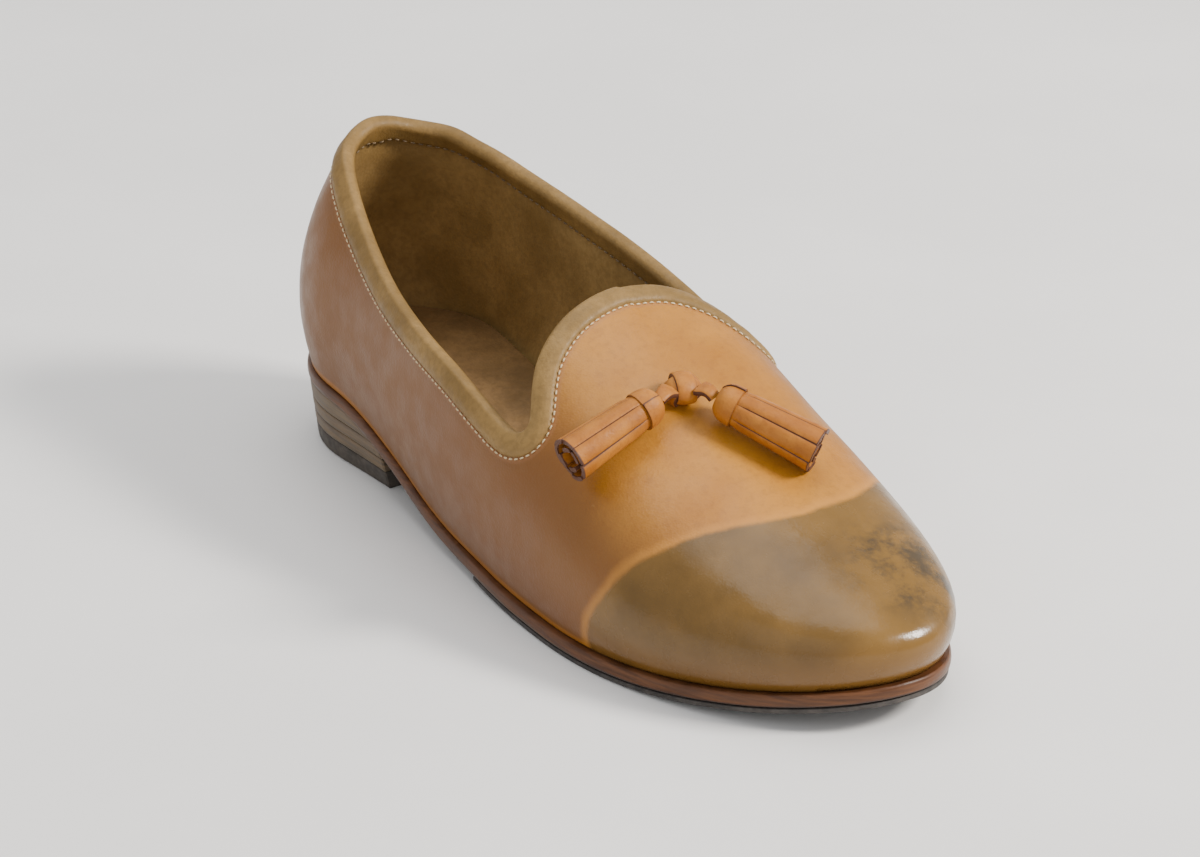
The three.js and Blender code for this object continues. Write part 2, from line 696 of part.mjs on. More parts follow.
// Lace under the vamp, up through both holes, tied in a flat knot on top.
function thongAndKnot() {
  const strap = new THREE.BoxGeometry(2 * HOLE_APART + 2, 2, 0.55).translate(0, 0, -2.05);
  const legs = [-1, 1].map((side) => post(-2.2, 4.6, THONG_R, 12).translate(side * HOLE_APART, 0, 0));
  const lump = new THREE.SphereGeometry(1, 20, 10)
    .scale(KNOT_HALF, 4.7, KNOT_THICK)
    .translate(0, 0, KNOT_TOP - KNOT_THICK - 0.6);
  const wrap = new THREE.CylinderGeometry(3.2, 3.2, 4.2, 18)
    .rotateZ(THREE.MathUtils.degToRad(24))
    .scale(1.2, 1, 1)
    .translate(0, 0, KNOT_TOP - 3.2);
  return joined([strap, ...legs, lump, wrap], placeOn(knotFrame));
}

// Tassel frame: z along the strands, y away from the vamp, origin at the neck pivot.
function tasselFrame(tassel) {
  const size = Math.hypot(...tassel.toward);
  const [dx, ds] = tassel.toward.map((v) => v / size);
  const frame = frameAt(KNOT[0] + dx * TASSEL_TOUCH, KNOT[1] + ds * TASSEL_TOUCH);
  const plan = new THREE.Vector3(dx, -ds, 0);
  const along = plan.clone().projectOnPlane(frame.normal).normalize();
  const side = new THREE.Vector3().crossVectors(frame.normal, along).normalize();
  const pivot = frame.at.clone().addScaledVector(frame.normal, TASSEL_R * FLARE + 0.4)
    .addScaledVector(along, NECK_START - TASSEL_TOUCH);
  return { along, side, normal: frame.normal, pivot, plan };
}

// Matrix of a tassel frame.
function placeInTassel(frame) {
  return new THREE.Matrix4().makeBasis(frame.side, frame.normal, frame.along).setPosition(frame.pivot);
}

// Strand outline: equal strips around a core, with slits between them.
function fringeOutline() {
  const points = [];
  for (let i = 0; i < STRANDS; i += 1) {
    const middle = i / STRANDS * 2 * Math.PI;
    const half = Math.PI / STRANDS;
    [[-0.9, 1.5], [-0.82, TASSEL_R * 0.94], [0, TASSEL_R * 1.02], [0.82, TASSEL_R * 0.94],
      [0.9, 1.5]].forEach(([turn, radius]) => {
      const a = middle + turn * half;
      points.push([radius * Math.cos(a), radius * Math.sin(a)]);
    });
  }
  return points;
}

// All the strands as one piece, wider towards their free ends.
function fringe() {
  const outline = new THREE.Shape(fringeOutline().map(([x, y]) => new THREE.Vector2(x, y)));
  const strands = new THREE.ExtrudeGeometry(outline, { depth: FRINGE, bevelEnabled: false });
  const { position } = strands.attributes;
  for (let i = 0; i < position.count; i += 1) {
    const wider = 1 + (FLARE - 1) * position.getZ(i) / FRINGE;
    position.setXY(i, position.getX(i) * wider, position.getY(i) * wider);
  }
  return strands.translate(0, 0, NECK + GAP);
}

// Point on the side of the knot where the lace end comes out.
function laceStart(frame) {
  return knotFrame.at.clone()
    .addScaledVector(knotFrame.normal, KNOT_TOP - LACE_OUT)
    .addScaledVector(frame.plan, KNOT_HALF + 0.1);
}

// Round rod between two points, with a ball on its far end.
function laceEnd(from, to) {
  const axis = to.clone().sub(from);
  const length = axis.length();
  const turn = new THREE.Quaternion().setFromUnitVectors(new THREE.Vector3(0, 0, 1), axis.normalize());
  const place = new THREE.Matrix4().compose(from, turn, new THREE.Vector3(1, 1, 1));
  const rod = post(0.4, length - 0.4, LACE_R, 10);
  const ball = new THREE.SphereGeometry(PIVOT_BALL, 14, 8).translate(0, 0, length);
  return joined([rod, ball], place);
}

function tasselParts(tassel) {
  const frame = tasselFrame(tassel);
  const place = placeInTassel(frame);
  const start = PIVOT_BALL + 0.4;
  const ringStart = start + TAPER;
  const cone = post(start, TAPER, 2.2, 18, TASSEL_R * 0.98);
  const ring = post(ringStart, NECK - ringStart, TASSEL_R * 1.04, 18);
  add(`fringe_${tassel.name}`, LACE_FINISH, joined([fringe()], place));
  add(`collar_${tassel.name}`, COLLAR_FINISH, joined([cone, ring], place));
  add(`lace_end_${tassel.name}`, LACE_FINISH, laceEnd(laceStart(frame), frame.pivot));
}

// ---------- assembly ----------
soleAndHeel();
bottomLayers();
uppersAndLinings();
add("thong_knot", LACE_FINISH, thongAndKnot());
TASSELS.forEach((tassel) => tasselParts(tassel));

// Centre the whole shoe on the origin, standing on z = 0.
shoe.updateMatrixWorld(true);
const box = new THREE.Box3().setFromObject(shoe);
const shift = [-(box.min.x + box.max.x) / 2, -(box.min.y + box.max.y) / 2, -box.min.z];
shoe.children.forEach((mesh) => mesh.geometry.translate(...shift));

export default shoe;
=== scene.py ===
import json
import math
import random

import bmesh
import bpy
import numpy as np
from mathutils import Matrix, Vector


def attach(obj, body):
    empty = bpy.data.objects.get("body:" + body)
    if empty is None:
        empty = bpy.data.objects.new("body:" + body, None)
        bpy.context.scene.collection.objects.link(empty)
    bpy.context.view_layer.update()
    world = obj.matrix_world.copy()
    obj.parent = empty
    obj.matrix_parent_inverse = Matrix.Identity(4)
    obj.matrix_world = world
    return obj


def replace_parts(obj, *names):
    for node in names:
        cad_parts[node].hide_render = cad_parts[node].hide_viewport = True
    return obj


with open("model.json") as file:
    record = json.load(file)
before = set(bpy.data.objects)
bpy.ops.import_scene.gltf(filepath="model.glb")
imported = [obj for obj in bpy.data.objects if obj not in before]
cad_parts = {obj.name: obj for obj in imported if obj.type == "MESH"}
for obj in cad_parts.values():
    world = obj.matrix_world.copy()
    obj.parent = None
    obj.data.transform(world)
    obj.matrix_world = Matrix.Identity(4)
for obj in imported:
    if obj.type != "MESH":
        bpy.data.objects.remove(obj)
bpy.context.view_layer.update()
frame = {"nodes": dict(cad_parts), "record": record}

chance = random.Random(7)

# ---------- driving dimensions, in millimetres, the same as the CAD's ----------
# Points are [x, s, z]: across, distance from the heel back towards the toe, height.
LENGTH = 257
UPPER = 1.3
STIFFENER = 0.7
LINING = 0.8
GAP = 0.3
SEAM = 0.2
LASTING = 12
OUTSOLE = 3.5
HALF_SOLE_START = 126
HALF_BOTTOM = 5.5
BREAST = 62
TOP_PIECE = 5.2
LIFT = 4.0
LEVEL_LIFTS = 2
BAND = 5.5
TASSEL_R = 5.0
FLARE = 1.25
FRINGE = 23
STRANDS = 7
NECK = 7
INSOLE = 2.0
SOCK = 1.0
INSOLE_LOW = UPPER + GAP
SOCK_LOW = INSOLE_LOW + INSOLE + GAP
NAIL_HOLE_R = 1.05
MM = 0.001                   # metres in a millimetre
# The CAD centres the finished shoe on its box: this is where [0, 0, 0] ends up.
ORIGIN = (2.0897, 128.3132, 0)

SEAT = [(0, 24.5), (45, 22.5), (75, 18), (120, 9), (150, 6), (175, 5.5), (200, 6),
        (228, 8.7), (257, 13.5)]
TILT = [(0, 0), (30, 0), (45, 0), (90, 0.12), (130, 0.03), (155, 0), (170, 0), (257, 0)]
EQUATOR = [(0, 18), (50, 20), (100, 26), (140, 20), (180, 11), (257, 9)]
RIDGE = [(0, 0), (60, 0), (120, 2), (180, 4), (257, 4)]
BACK = [(0, 3), (10, 0.6), (18, 0), (30, 1.5), (45, 7), (64, 18), (90, 36)]
HEEL_ROUND = 36
TOE_DROP = 205
SPINE = (38, 205)
TUCK = 3.5
LATERAL = {
    "sign": -1, "power": 2.2, "toe": 165, "notch": 12,
    "edge": [(0, 30), (38, 30.5), (75, 33), (110, 38), (150, 43.5), (178, 45), (257, 44)],
    "widest": [(0, 32.5), (38, 32.5), (75, 37), (110, 42.5), (150, 46), (178, 47), (257, 46)],
    "crown": [(0, 99), (13, 98), (30, 90), (55, 87.5), (94, 86.5), (115, 86), (131, 76),
              (150, 68.5), (180, 55), (210, 43), (257, 34)],
    "topline": [(0, 16, 88.5), (-9, 18, 88.3), (-15.5, 24, 86.5), (-22, 38, 78.5), (-28, 56, 70),
                (-33, 74, 64), (-37, 94, 60), (-40, 115, 56.8), (-41.2, 130, 53), (-40.3, 141, 49),
                (-38.5, 146.5, 48.5), (-36.5, 148, 51), (-33, 143.5, 57), (-28, 138, 63.6),
                (-18, 133.5, 70), (-6, 131.5, 74), (3, 131, 74.5)],
}
MEDIAL = {
    "sign": 1, "power": 2.8, "toe": 182, "notch": 12,
    "edge": [(0, 29.5), (38, 29.5), (75, 25), (110, 24.5), (150, 35), (182, 39.5), (257, 38.5)],
    "widest": [(0, 31.5), (38, 31.5), (75, 33.5), (110, 37.5), (148, 42), (182, 42.5), (257, 41)],
    "crown": [(0, 98), (11, 97), (25, 93), (45, 93.5), (75, 93.6), (96, 91.5), (118, 83.4),
              (131, 75.5), (150, 68.5), (180, 55), (210, 43), (257, 34)],
    "topline": [(0, 16, 88.5), (9, 17, 88.6), (16, 22, 86.5), (21, 33, 84), (25.5, 50, 80.5),
                (29.5, 74, 75), (33, 96, 69.3), (35.5, 119, 62.5), (37, 136, 56.5),
                (37.5, 145, 53.8), (36.5, 150, 54), (33.9, 149, 57.5), (30, 144.5, 63),
                (24.5, 138.5, 68.6), (14, 133, 72.8), (3, 131, 74.5)],
}
KNOT = (-5, 168)
KNOT_TOP = 7.2
KNOT_HALF = 5.6
LACE_OUT = 2.4
HOLE_APART = 3.2
TASSELS = {"lateral": (-1, 0.14), "medial": (0.53, 1)}
TASSEL_TOUCH = 15
NECK_START = 7.6

COLUMNS = 112                # mesh columns per side
BODY_ROWS = 34               # mesh rows from the sole edge to the binding
BAND_ROWS = 6                # mesh rows under the binding
LINING_SEAM = 48             # column where the two linings meet
HIDDEN_ROWS = 2              # the upper and linings end this many rows inside the binding
BINDING_OUT = 1.0            # the roll stands this far outside the upper,
BINDING_IN = 3.5             # this far inside it
BINDING_RISE = 1.4           # and this far above its edge
VIEW_TURN = 35.6             # degrees between the camera's direction and the shoe's length


# ---------- the shoe form ----------
def smooth(table, at):
    """Smooth curve through a table of (place, value)."""
    xs = np.array([p[0] for p in table], float)
    ys = np.array([p[1] for p in table], float)
    at = np.clip(np.asarray(at, float), xs[0], xs[-1])
    steps = np.diff(xs)
    slopes = np.diff(ys) / steps
    tangents = np.empty(len(xs))
    tangents[0], tangents[-1] = slopes[0], slopes[-1]
    tangents[1:-1] = (slopes[:-1] * steps[1:] + slopes[1:] * steps[:-1]) / (steps[:-1] + steps[1:])
    k = np.clip(np.searchsorted(xs, at, side="right") - 1, 0, len(xs) - 2)
    h = steps[k]
    t = (at - xs[k]) / h
    u = 1 - t
    return (ys[k] * (1 + 2 * t) * u * u + h * tangents[k] * t * u * u
            + ys[k + 1] * t * t * (3 - 2 * t) - h * tangents[k + 1] * t * t * u)


def closing(at, start, end, p=2):
    """Falls from 1 at start to 0 at end like a quarter ellipse."""
    t = np.clip((at - start) / (end - start), 0, 1)
    return np.sqrt(np.maximum(1 - t ** p, 1e-9))


def seat(x, s):
    return smooth(SEAT, s) + smooth(TILT, s) * x


def form(x, s, z):
    """Below zero inside the shoe form, above zero outside."""
    widest_z = smooth(SEAT, s) + smooth(EQUATOR, s)
    below = np.clip((widest_z - z) / (widest_z - seat(x, s)), 0, 1.2)
    along = s - smooth(BACK, z - smooth(SEAT, 0)) * np.clip(1 - s / 90, 0, 1)
    tuck = TUCK * below ** 2 * np.clip((s - 100) / 100, 0, 1)
    along = LENGTH / 2 + (along - LENGTH / 2) / (1 - 2 * tuck / LENGTH)
    out = (along <= 0) | (along >= LENGTH)
    along = np.clip(along, 1e-6, LENGTH - 1e-6)
    heel = closing(HEEL_ROUND - along, 0, HEEL_ROUND)
    ridge = smooth(RIDGE, along)
    base = smooth(SEAT, along) + smooth(EQUATOR, along)

    def value(side):
        wide = smooth(side["widest"], along)
        narrow = smooth(side["edge"], along)
        width = (wide - (wide - narrow) * below ** 2) * closing(along, side["toe"], LENGTH) * heel
        width = width - side["sign"] * ridge * closing(along, LATERAL["toe"], LENGTH) * heel
        rise = (smooth(side["crown"], along) - base) * closing(along, TOE_DROP, LENGTH, 2.2)
        return ((np.abs(x - ridge) / width) ** side["power"]
                + (np.maximum(z - widest_z, 0) / np.maximum(rise, 1e-6)) ** side["power"] - 1)

    return np.where(out, 10, np.where(x > ridge, value(MEDIAL), value(LATERAL)))


def onto_surface(guides):
    """Moves guide points onto the form, along rays from its spine."""
    s = np.clip(guides[:, 1], *SPINE)
    origins = np.stack([0 * s, s, smooth(SEAT, s)], 1)
    rays = guides - origins
    rays = rays / np.linalg.norm(rays, axis=1)[:, None]
    lo = np.zeros(len(s))
    hi = np.full(len(s), 200.0)
    for _ in range(34):
        mid = (lo + hi) / 2
        within = form(*(origins + rays * mid[:, None]).T) < 0
        lo = np.where(within, mid, lo)
        hi = np.where(within, hi, mid)
    return origins + rays * lo[:, None]


def sole_edge(side):
    """Edge of the upper on the sole, heel back to toe tip."""
    back = np.linspace(0, math.pi / 2, 40, endpoint=False)
    front = np.linspace(0, math.pi / 2, 50)
    start = np.concatenate([np.full(40, SPINE[0]), np.linspace(*SPINE, 90, endpoint=False),
                            np.full(50, SPINE[1])])
    dx = side["sign"] * np.concatenate([np.sin(back), np.ones(90), np.cos(front)])
    ds = np.concatenate([-np.cos(back), np.zeros(90), np.sin(front)])
    lo = np.zeros(len(start))
    hi = np.full(len(start), 120.0)
    for _ in range(34):
        mid = (lo + hi) / 2
        x, s = dx * mid, start + ds * mid
        within = form(x, s, seat(x, s)) < 0
        lo = np.where(within, mid, lo)
        hi = np.where(within, hi, mid)
    x, s = dx * lo, start + ds * lo
    return np.stack([x, s, seat(x, s)], 1)


def arc_lengths(points):
    return np.concatenate([[0], np.cumsum(np.linalg.norm(np.diff(points, axis=0), axis=1))])


def along_line(points, fractions):
    arc = arc_lengths(points)
    return np.stack([np.interp(fractions * arc[-1], arc, points[:, k]) for k in range(points.shape[1])], 1)


def topline(side):
    knots = np.array(side["topline"], float)
    time = np.concatenate([[0], np.cumsum(np.sqrt(np.linalg.norm(np.diff(knots, axis=0), axis=1)))])
    at = np.linspace(0, time[-1], 400)
    guides = np.stack([smooth(list(zip(time, knots[:, k])), at) for k in range(3)], 1)
    return onto_surface(guides)


def side_columns(side):
    """Grid of surface points for one side: columns from heel to toe, rows going up."""
    edge, top = sole_edge(side), topline(side)
    edge_arc, top_arc = arc_lengths(edge), arc_lengths(top)
    notch = int(np.argmax(top[:, 1]))
    notch_top = top_arc[notch] / top_arc[-1]
    under = int(np.argmax(edge[:, 1] > top[notch, 1] + side["notch"]))
    notch_edge = edge_arc[under] / edge_arc[-1]
    u = np.linspace(0, 1, COLUMNS + 1)
    low = along_line(edge, smooth([(0, 0), (0.25, notch_edge * 0.52), (0.5, notch_edge), (1, 1)], u))
    high = along_line(top, smooth([(0, 0), (0.25, notch_top * 0.5), (0.5, notch_top), (1, 1)], u))
    t = np.linspace(0, 1, 61)[None, :, None]
    lines = low[:, None] * (1 - t) + high[:, None] * t
    lines = onto_surface(lines.reshape(-1, 3)).reshape(lines.shape)
    columns = []
    for line in lines:
        length = arc_lengths(line)[-1]
        body = (length - BAND) * np.linspace(0, 1, BODY_ROWS, endpoint=False) ** 1.15
        band = length - BAND + BAND * np.linspace(0, 1, BAND_ROWS + 1)
        columns.append(along_line(line, np.concatenate([body, band]) / length))
    return np.array(columns)


def wall_grid():
    """One loop of columns: heel back, outer side, toe tip, inner side."""
    outer, inner = side_columns(LATERAL), side_columns(MEDIAL)[::-1]
    return np.concatenate([outer, inner[1:-1]])


def normals_of(grid):
    across = np.roll(grid, -1, 0) - np.roll(grid, 1, 0)
    up = np.gradient(grid, axis=1)
    n = np.cross(across, up)
    n = n / np.maximum(np.linalg.norm(n, axis=2), 1e-9)[..., None]
    spine = np.clip(grid[..., 1], *SPINE)
    away = grid - np.stack([0 * spine, spine, smooth(SEAT, spine)], -1)
    return n if (n * away).sum() > 0 else -n


def surface_normals(points, step=0.4):
    """Outward directions of the form at points near its surface."""
    slopes = []
    for axis in np.eye(3) * step:
        slopes.append(form(*(points + axis).T) - form(*(points - axis).T))
    n = np.stack(slopes, 1)
    return n / np.maximum(np.linalg.norm(n, axis=1), 1e-9)[:, None]


def blurred(values, passes):
    """A closed loop of values, softened along its length."""
    for _ in range(passes):
        values = (np.roll(values, 1, 0) + 2 * values + np.roll(values, -1, 0)) / 4
    return values


def unit(vectors):
    return vectors / np.maximum(np.linalg.norm(vectors, axis=-1), 1e-9)[..., None]


wall = wall_grid()
LOOP = len(wall)
wall_out = normals_of(wall)
# The mesh is skewed near the topline, so there the form gives the directions.
wall_out[:, BODY_ROWS:] = surface_normals(wall[:, BODY_ROWS:].reshape(-1, 3)).reshape(LOOP, -1, 3)


def evenly_round(points, count):
    """A closed loop of points, spaced evenly."""
    closed = np.concatenate([points, points[:1]])
    return along_line(closed, np.linspace(0, 1, count, endpoint=False))


RAIL = 320                   # points round the topline
rail = onto_surface(blurred(evenly_round(wall[:, -1], RAIL), 6))


def band_rows():
    """Rows of surface points square to the topline, from the binding's edge up to it."""
    n = surface_normals(rail)
    tangent = unit(np.roll(rail, -1, 0) - np.roll(rail, 1, 0))
    up = np.cross(tangent, n)
    up = up if up[:, 2].sum() > 0 else -up
    up = unit(blurred(up, 12))
    rows = [onto_surface(rail - up * BAND * (1 - i / BAND_ROWS)) for i in range(BAND_ROWS + 1)]
    return rows, [unit(blurred(surface_normals(row), 12)) for row in rows], up


band, band_out, band_up = band_rows()


def plan_outline(side, margin):
    """Plan outline of the upper's edge moved outward by margin(s)."""
    edge = sole_edge(side)
    ahead = np.gradient(edge[:, :2], axis=0)
    size = np.linalg.norm(ahead, axis=1)
    out = np.stack([ahead[:, 1], -ahead[:, 0]], 1) * side["sign"] / size[:, None]
    return edge[:, :2] + out * margin(edge[:, 1])[:, None]


# ---------- meshes ----------
def to_row(points):
    """[x, s, z] in millimetres to the row frame in metres."""
    p = np.asarray(points, float)
    return np.stack([p[..., 0] + ORIGIN[0], ORIGIN[1] - p[..., 1], p[..., 2]], -1) / 1000


def make_piece(name, points, faces, body, material, fields=None, sharp=55, in_row=False):
    """A mesh piece from points, faces and named values per point, riding on a body."""
    places = np.asarray(points) if in_row else to_row(points)
    bm = bmesh.new()
    layers = [(bm.verts.layers.float.new(key), values) for key, values in (fields or {}).items()]
    verts = [bm.verts.new(p) for p in places]
    for layer, values in layers:
        for vert, value in zip(verts, values):
            vert[layer] = float(value)
    for face in faces:
        if len(set(face)) > 2:
            bm.faces.new([verts[i] for i in dict.fromkeys(face)])
    bmesh.ops.remove_doubles(bm, verts=bm.verts, dist=2e-6)
    bmesh.ops.recalc_face_normals(bm, faces=bm.faces)
    mesh = bpy.data.meshes.new(name)
    bm.to_mesh(mesh)
    bm.free()
    mesh.shade_smooth()
    mesh.set_sharp_from_angle(angle=math.radians(sharp))
    piece = bpy.data.objects.new(name, mesh)
    bpy.context.scene.collection.objects.link(piece)
    mesh.materials.append(material)
    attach(piece, body)
    return piece


def rings_to_faces(rings, points, loop):
    """Quads between rings of equal size, with end caps where they don't loop."""
    faces = []
    for i in range(rings if loop else rings - 1):
        j = (i + 1) % rings
        for k in range(points):
            m = (k + 1) % points
            faces.append((i * points + k, j * points + k, j * points + m, i * points + m))
    if not loop:
        faces.append(tuple(range(points)))
        faces.append(tuple((rings - 1) * points + k for k in range(points)))
    return faces


def tube(name, rings, body, material, loop=False, fields=None, sharp=55, in_row=False):
    rings = np.asarray(rings)
    faces = rings_to_faces(rings.shape[0], rings.shape[1], loop)
    return make_piece(name, rings.reshape(-1, 3), faces, body, material, fields, sharp, in_row)


# ---------- materials ----------
class Paint:
    """A node material with a few shorthand calls."""

    def __init__(self, name, roughness=0.5, **sockets):
        self.material = bpy.data.materials.new(name)
        self.material.use_nodes = True
        self.tree = self.material.node_tree
        self.shader = self.tree.nodes["Principled BSDF"]
        self.shader.inputs["Roughness"].default_value = roughness
        for socket, value in sockets.items():
            self.shader.inputs[socket.replace("_", " ")].default_value = value
        self.place = self.tree.nodes.new("ShaderNodeTexCoord").outputs["Object"]

    def node(self, kind, inputs=None, **settings):
        made = self.tree.nodes.new(kind)
        for key, value in settings.items():
            setattr(made, key, value)
        for key, value in (inputs or {}).items():
            if isinstance(value, bpy.types.NodeSocket):
                self.tree.links.new(value, made.inputs[key])
            else:
                made.inputs[key].default_value = value
        return made

    def noise(self, per_mm, detail=3, rough=0.55, stretch=None):
        """Noise from 0 to 1, with about per_mm bumps in a millimetre."""
        place = self.place
        if stretch:
            place = self.node("ShaderNodeMapping", {"Vector": place, "Scale": stretch}).outputs[0]
        sockets = {"Vector": place, "Scale": per_mm * 1000, "Detail": detail, "Roughness": rough}
        return self.node("ShaderNodeTexNoise", sockets).outputs["Fac"]

    def pores(self, per_mm):
        cells = self.node("ShaderNodeTexVoronoi", {"Vector": self.place, "Scale": per_mm * 1000})
        return cells.outputs["Distance"]

    def field(self, name):
        return self.node("ShaderNodeAttribute", attribute_name=name).outputs["Fac"]

    def ramp(self, value, low, high, to_low=0.0, to_high=1.0):
        sockets = {"Value": value, 1: low, 2: high, 3: to_low, 4: to_high}
        return self.node("ShaderNodeMapRange", sockets, interpolation_type="SMOOTHSTEP").outputs[0]

    def maths(self, operation, a, b):
        return self.node("ShaderNodeMath", {0: a, 1: b}, operation=operation).outputs[0]

    def mix(self, amount, a, b, mode="MIX"):
        made = self.node("ShaderNodeMix", data_type="RGBA", blend_type=mode)
        for key, value in ((0, amount), (6, a), (7, b)):
            if isinstance(value, bpy.types.NodeSocket):
                self.tree.links.new(value, made.inputs[key])
            elif key == 0:
                made.inputs[key].default_value = value
            else:
                made.inputs[key].default_value = (*value, 1)
        return made.outputs[2]

    def finish(self, colour, roughness=None, bumps=()):
        """bumps is a list of (height socket, depth in millimetres)."""
        self.tree.links.new(colour, self.shader.inputs["Base Color"])
        if roughness is not None:
            self.tree.links.new(roughness, self.shader.inputs["Roughness"])
        normal = None
        for height, depth in bumps:
            sockets = {"Height": height, "Distance": depth / 1000, "Strength": 1.0}
            if normal is not None:
                sockets["Normal"] = normal
            normal = self.node("ShaderNodeBump", sockets).outputs[0]
        if normal is not None:
            self.tree.links.new(normal, self.shader.inputs["Normal"])
        return self.material


def grained_leather(name, light, dark, roughness=(0.42, 0.6), pore=1.6, depth=0.05, **sockets):
    """Plain leather: cloudy colour, fine pores, and creases."""
    p = Paint(name, Specular_IOR_Level=0.25, **sockets)
    cloud = p.ramp(p.noise(0.05, 5), 0.32, 0.7)
    fine = p.ramp(p.noise(0.6, 3), 0.3, 0.75)
    colour = p.mix(cloud, dark, light)
    colour = p.mix(p.ramp(fine, 0, 1, 0.0, 0.35), colour, [v * 0.72 for v in dark])
    shine = p.ramp(p.noise(0.25, 4), 0.3, 0.7, *roughness)
    return p.finish(colour, shine, [(p.pores(pore), depth), (p.noise(0.35, 5), depth * 1.5)])


def upper_leather():
    """Tan leather with a dyed, smoky, polished toe, darker low on the sides, with painted shade on the sides
    and the heel end.
    """
    p = Paint("upper_leather", Coat_Weight=0.1, Coat_Roughness=0.25, Specular_IOR_Level=0.3)
    cloud = p.ramp(p.noise(0.028, 6), 0.3, 0.72)
    speckle = p.ramp(p.noise(0.45, 4, 0.65), 0.42, 0.72)
    tan = p.mix(cloud, (0.34, 0.130, 0.012), (0.47, 0.205, 0.024))
    # Painted shade: the sides and the heel end are darkened by how much they face sideways.
    painted_side_shade = p.ramp(p.field("painted_side_shade"), 0.25, 0.95)
    tan = p.mix(p.maths("MULTIPLY", painted_side_shade, 0.88), tan, (0.135, 0.052, 0.012))
    tan = p.mix(p.maths("MULTIPLY", speckle, 0.28), tan, (0.18, 0.060, 0.008))
    # A darker band low down and a lighter one where the upper meets the sole.
    tan = p.mix(p.ramp(p.field("rise"), 2, 20, 0.32, 0.0), tan, (0.12, 0.044, 0.009))
    tan = p.mix(p.ramp(p.field("rise"), 1.2, 2.4, 0.75, 0.0), tan, (0.36, 0.135, 0.018))
    # The needle line under the binding.
    tan = p.mix(p.ramp(p.field("drop"), BAND + 0.5, BAND + 2.2, 0.6, 0.0), tan, (0.30, 0.13, 0.05))
    olive = p.mix(cloud, (0.095, 0.050, 0.010), (0.185, 0.098, 0.022))
    olive = p.mix(p.ramp(p.field("rise"), 3, 17, 0.55, 0.0), olive, (0.15, 0.066, 0.012))
    patches = p.ramp(p.noise(0.075, 7, 0.7), 0.42, 0.62)
    smoke = p.maths("MULTIPLY", p.ramp(p.field("smoke"), 0.03, 0.6), patches)
    olive = p.mix(p.maths("MULTIPLY", smoke, 0.85), olive, (0.035, 0.028, 0.018))
    wander = p.maths("MULTIPLY", p.maths("SUBTRACT", p.noise(0.09, 4), 0.5), 3.0)
    beyond = p.maths("ADD", p.field("toe_line"), wander)
    line = p.maths("MULTIPLY", p.ramp(beyond, -3.2, -0.6), p.ramp(beyond, -0.4, 1.6, 1.0, 0.0))
    tan = p.mix(p.maths("MULTIPLY", line, 0.5), tan, (0.50, 0.215, 0.035))
    dyed = p.ramp(beyond, -0.7, 1.3)
    colour = p.mix(dyed, tan, olive)
    scuff = p.ramp(p.noise(0.16, 8, 0.75, (1, 0.4, 1)), 0.64, 0.72)
    colour = p.mix(p.maths("MULTIPLY", scuff, 0.22), colour, (0.40, 0.24, 0.08))
    satin = p.ramp(p.noise(0.12, 5), 0.3, 0.7, 0.36, 0.52)
    shine = p.maths("SUBTRACT", satin, p.maths("MULTIPLY", dyed, 0.2))
    grain = p.maths("MULTIPLY", p.pores(1.5), p.maths("SUBTRACT", 1.0, p.maths("MULTIPLY", dyed, 0.7)))
    return p.finish(colour, shine, [(grain, 0.045), (p.noise(0.5, 4), 0.05), (p.noise(0.04, 4), 0.5)])


def strip_leather():
    """Tassel leather: tan faces, dark cut edges."""
    p = Paint("tassel_leather", Specular_IOR_Level=0.25)
    cloud = p.ramp(p.noise(0.12, 5), 0.3, 0.7)
    face = p.mix(cloud, (0.30, 0.098, 0.010), (0.42, 0.158, 0.020))
    worn = p.ramp(p.noise(0.7, 4, stretch=(1, 1, 0.4)), 0.5, 0.75, 0.0, 0.4)
    face = p.mix(worn, face, (0.20, 0.065, 0.012))
    edge = p.ramp(p.field("cut"), 0.45, 0.8)
    colour = p.mix(edge, face, (0.085, 0.033, 0.018))
    shine = p.ramp(p.noise(0.3, 4), 0.3, 0.7, 0.42, 0.58)
    return p.finish(colour, shine, [(p.pores(1.7), 0.04), (p.noise(0.4, 5), 0.12)])


def sole_edge_leather():
    """Burnished edge, with a dark line along the bottom."""
    p = Paint("sole_leather", Coat_Weight=0.06, Coat_Roughness=0.35, Specular_IOR_Level=0.25)
    layers = p.noise(0.35, 5, stretch=(0.25, 0.25, 4))
    colour = p.mix(p.ramp(layers, 0.3, 0.7), (0.060, 0.022, 0.008), (0.125, 0.048, 0.017))
    colour = p.mix(p.ramp(p.field("level"), 0.10, 0.22, 0.85, 0.0), colour, (0.035, 0.022, 0.018))
    wear = p.ramp(p.noise(0.12, 7, 0.7), 0.6, 0.72, 0.0, 0.5)
    colour = p.mix(wear, colour, (0.22, 0.095, 0.04))
    return p.finish(colour, p.ramp(layers, 0.3, 0.7, 0.32, 0.5), [(layers, 0.12), (p.noise(0.8, 3), 0.05)])


def stacked_leather():
    """Heel lifts: thin layers, dull and scuffed."""
    p = Paint("heel_leather")
    layers = p.noise(0.30, 5, stretch=(0.22, 0.22, 5))
    colour = p.mix(p.ramp(layers, 0.28, 0.72), (0.070, 0.045, 0.024), (0.17, 0.115, 0.062))
    colour = p.mix(p.ramp(p.noise(0.05, 6, 0.7), 0.5, 0.75, 0.0, 0.5), colour, (0.11, 0.085, 0.062))
    return p.finish(colour, p.ramp(layers, 0.3, 0.7, 0.45, 0.65), [(layers, 0.15), (p.noise(0.7, 4), 0.06)])


def rubber(name, light, dark):
    p = Paint(name)
    colour = p.mix(p.ramp(p.noise(0.35, 6, 0.7), 0.35, 0.7), dark, light)
    return p.finish(colour, p.ramp(p.noise(0.15, 4), 0.3, 0.7, 0.62, 0.85),
                    [(p.noise(1.2, 3), 0.05), (p.pores(0.5), 0.04)])


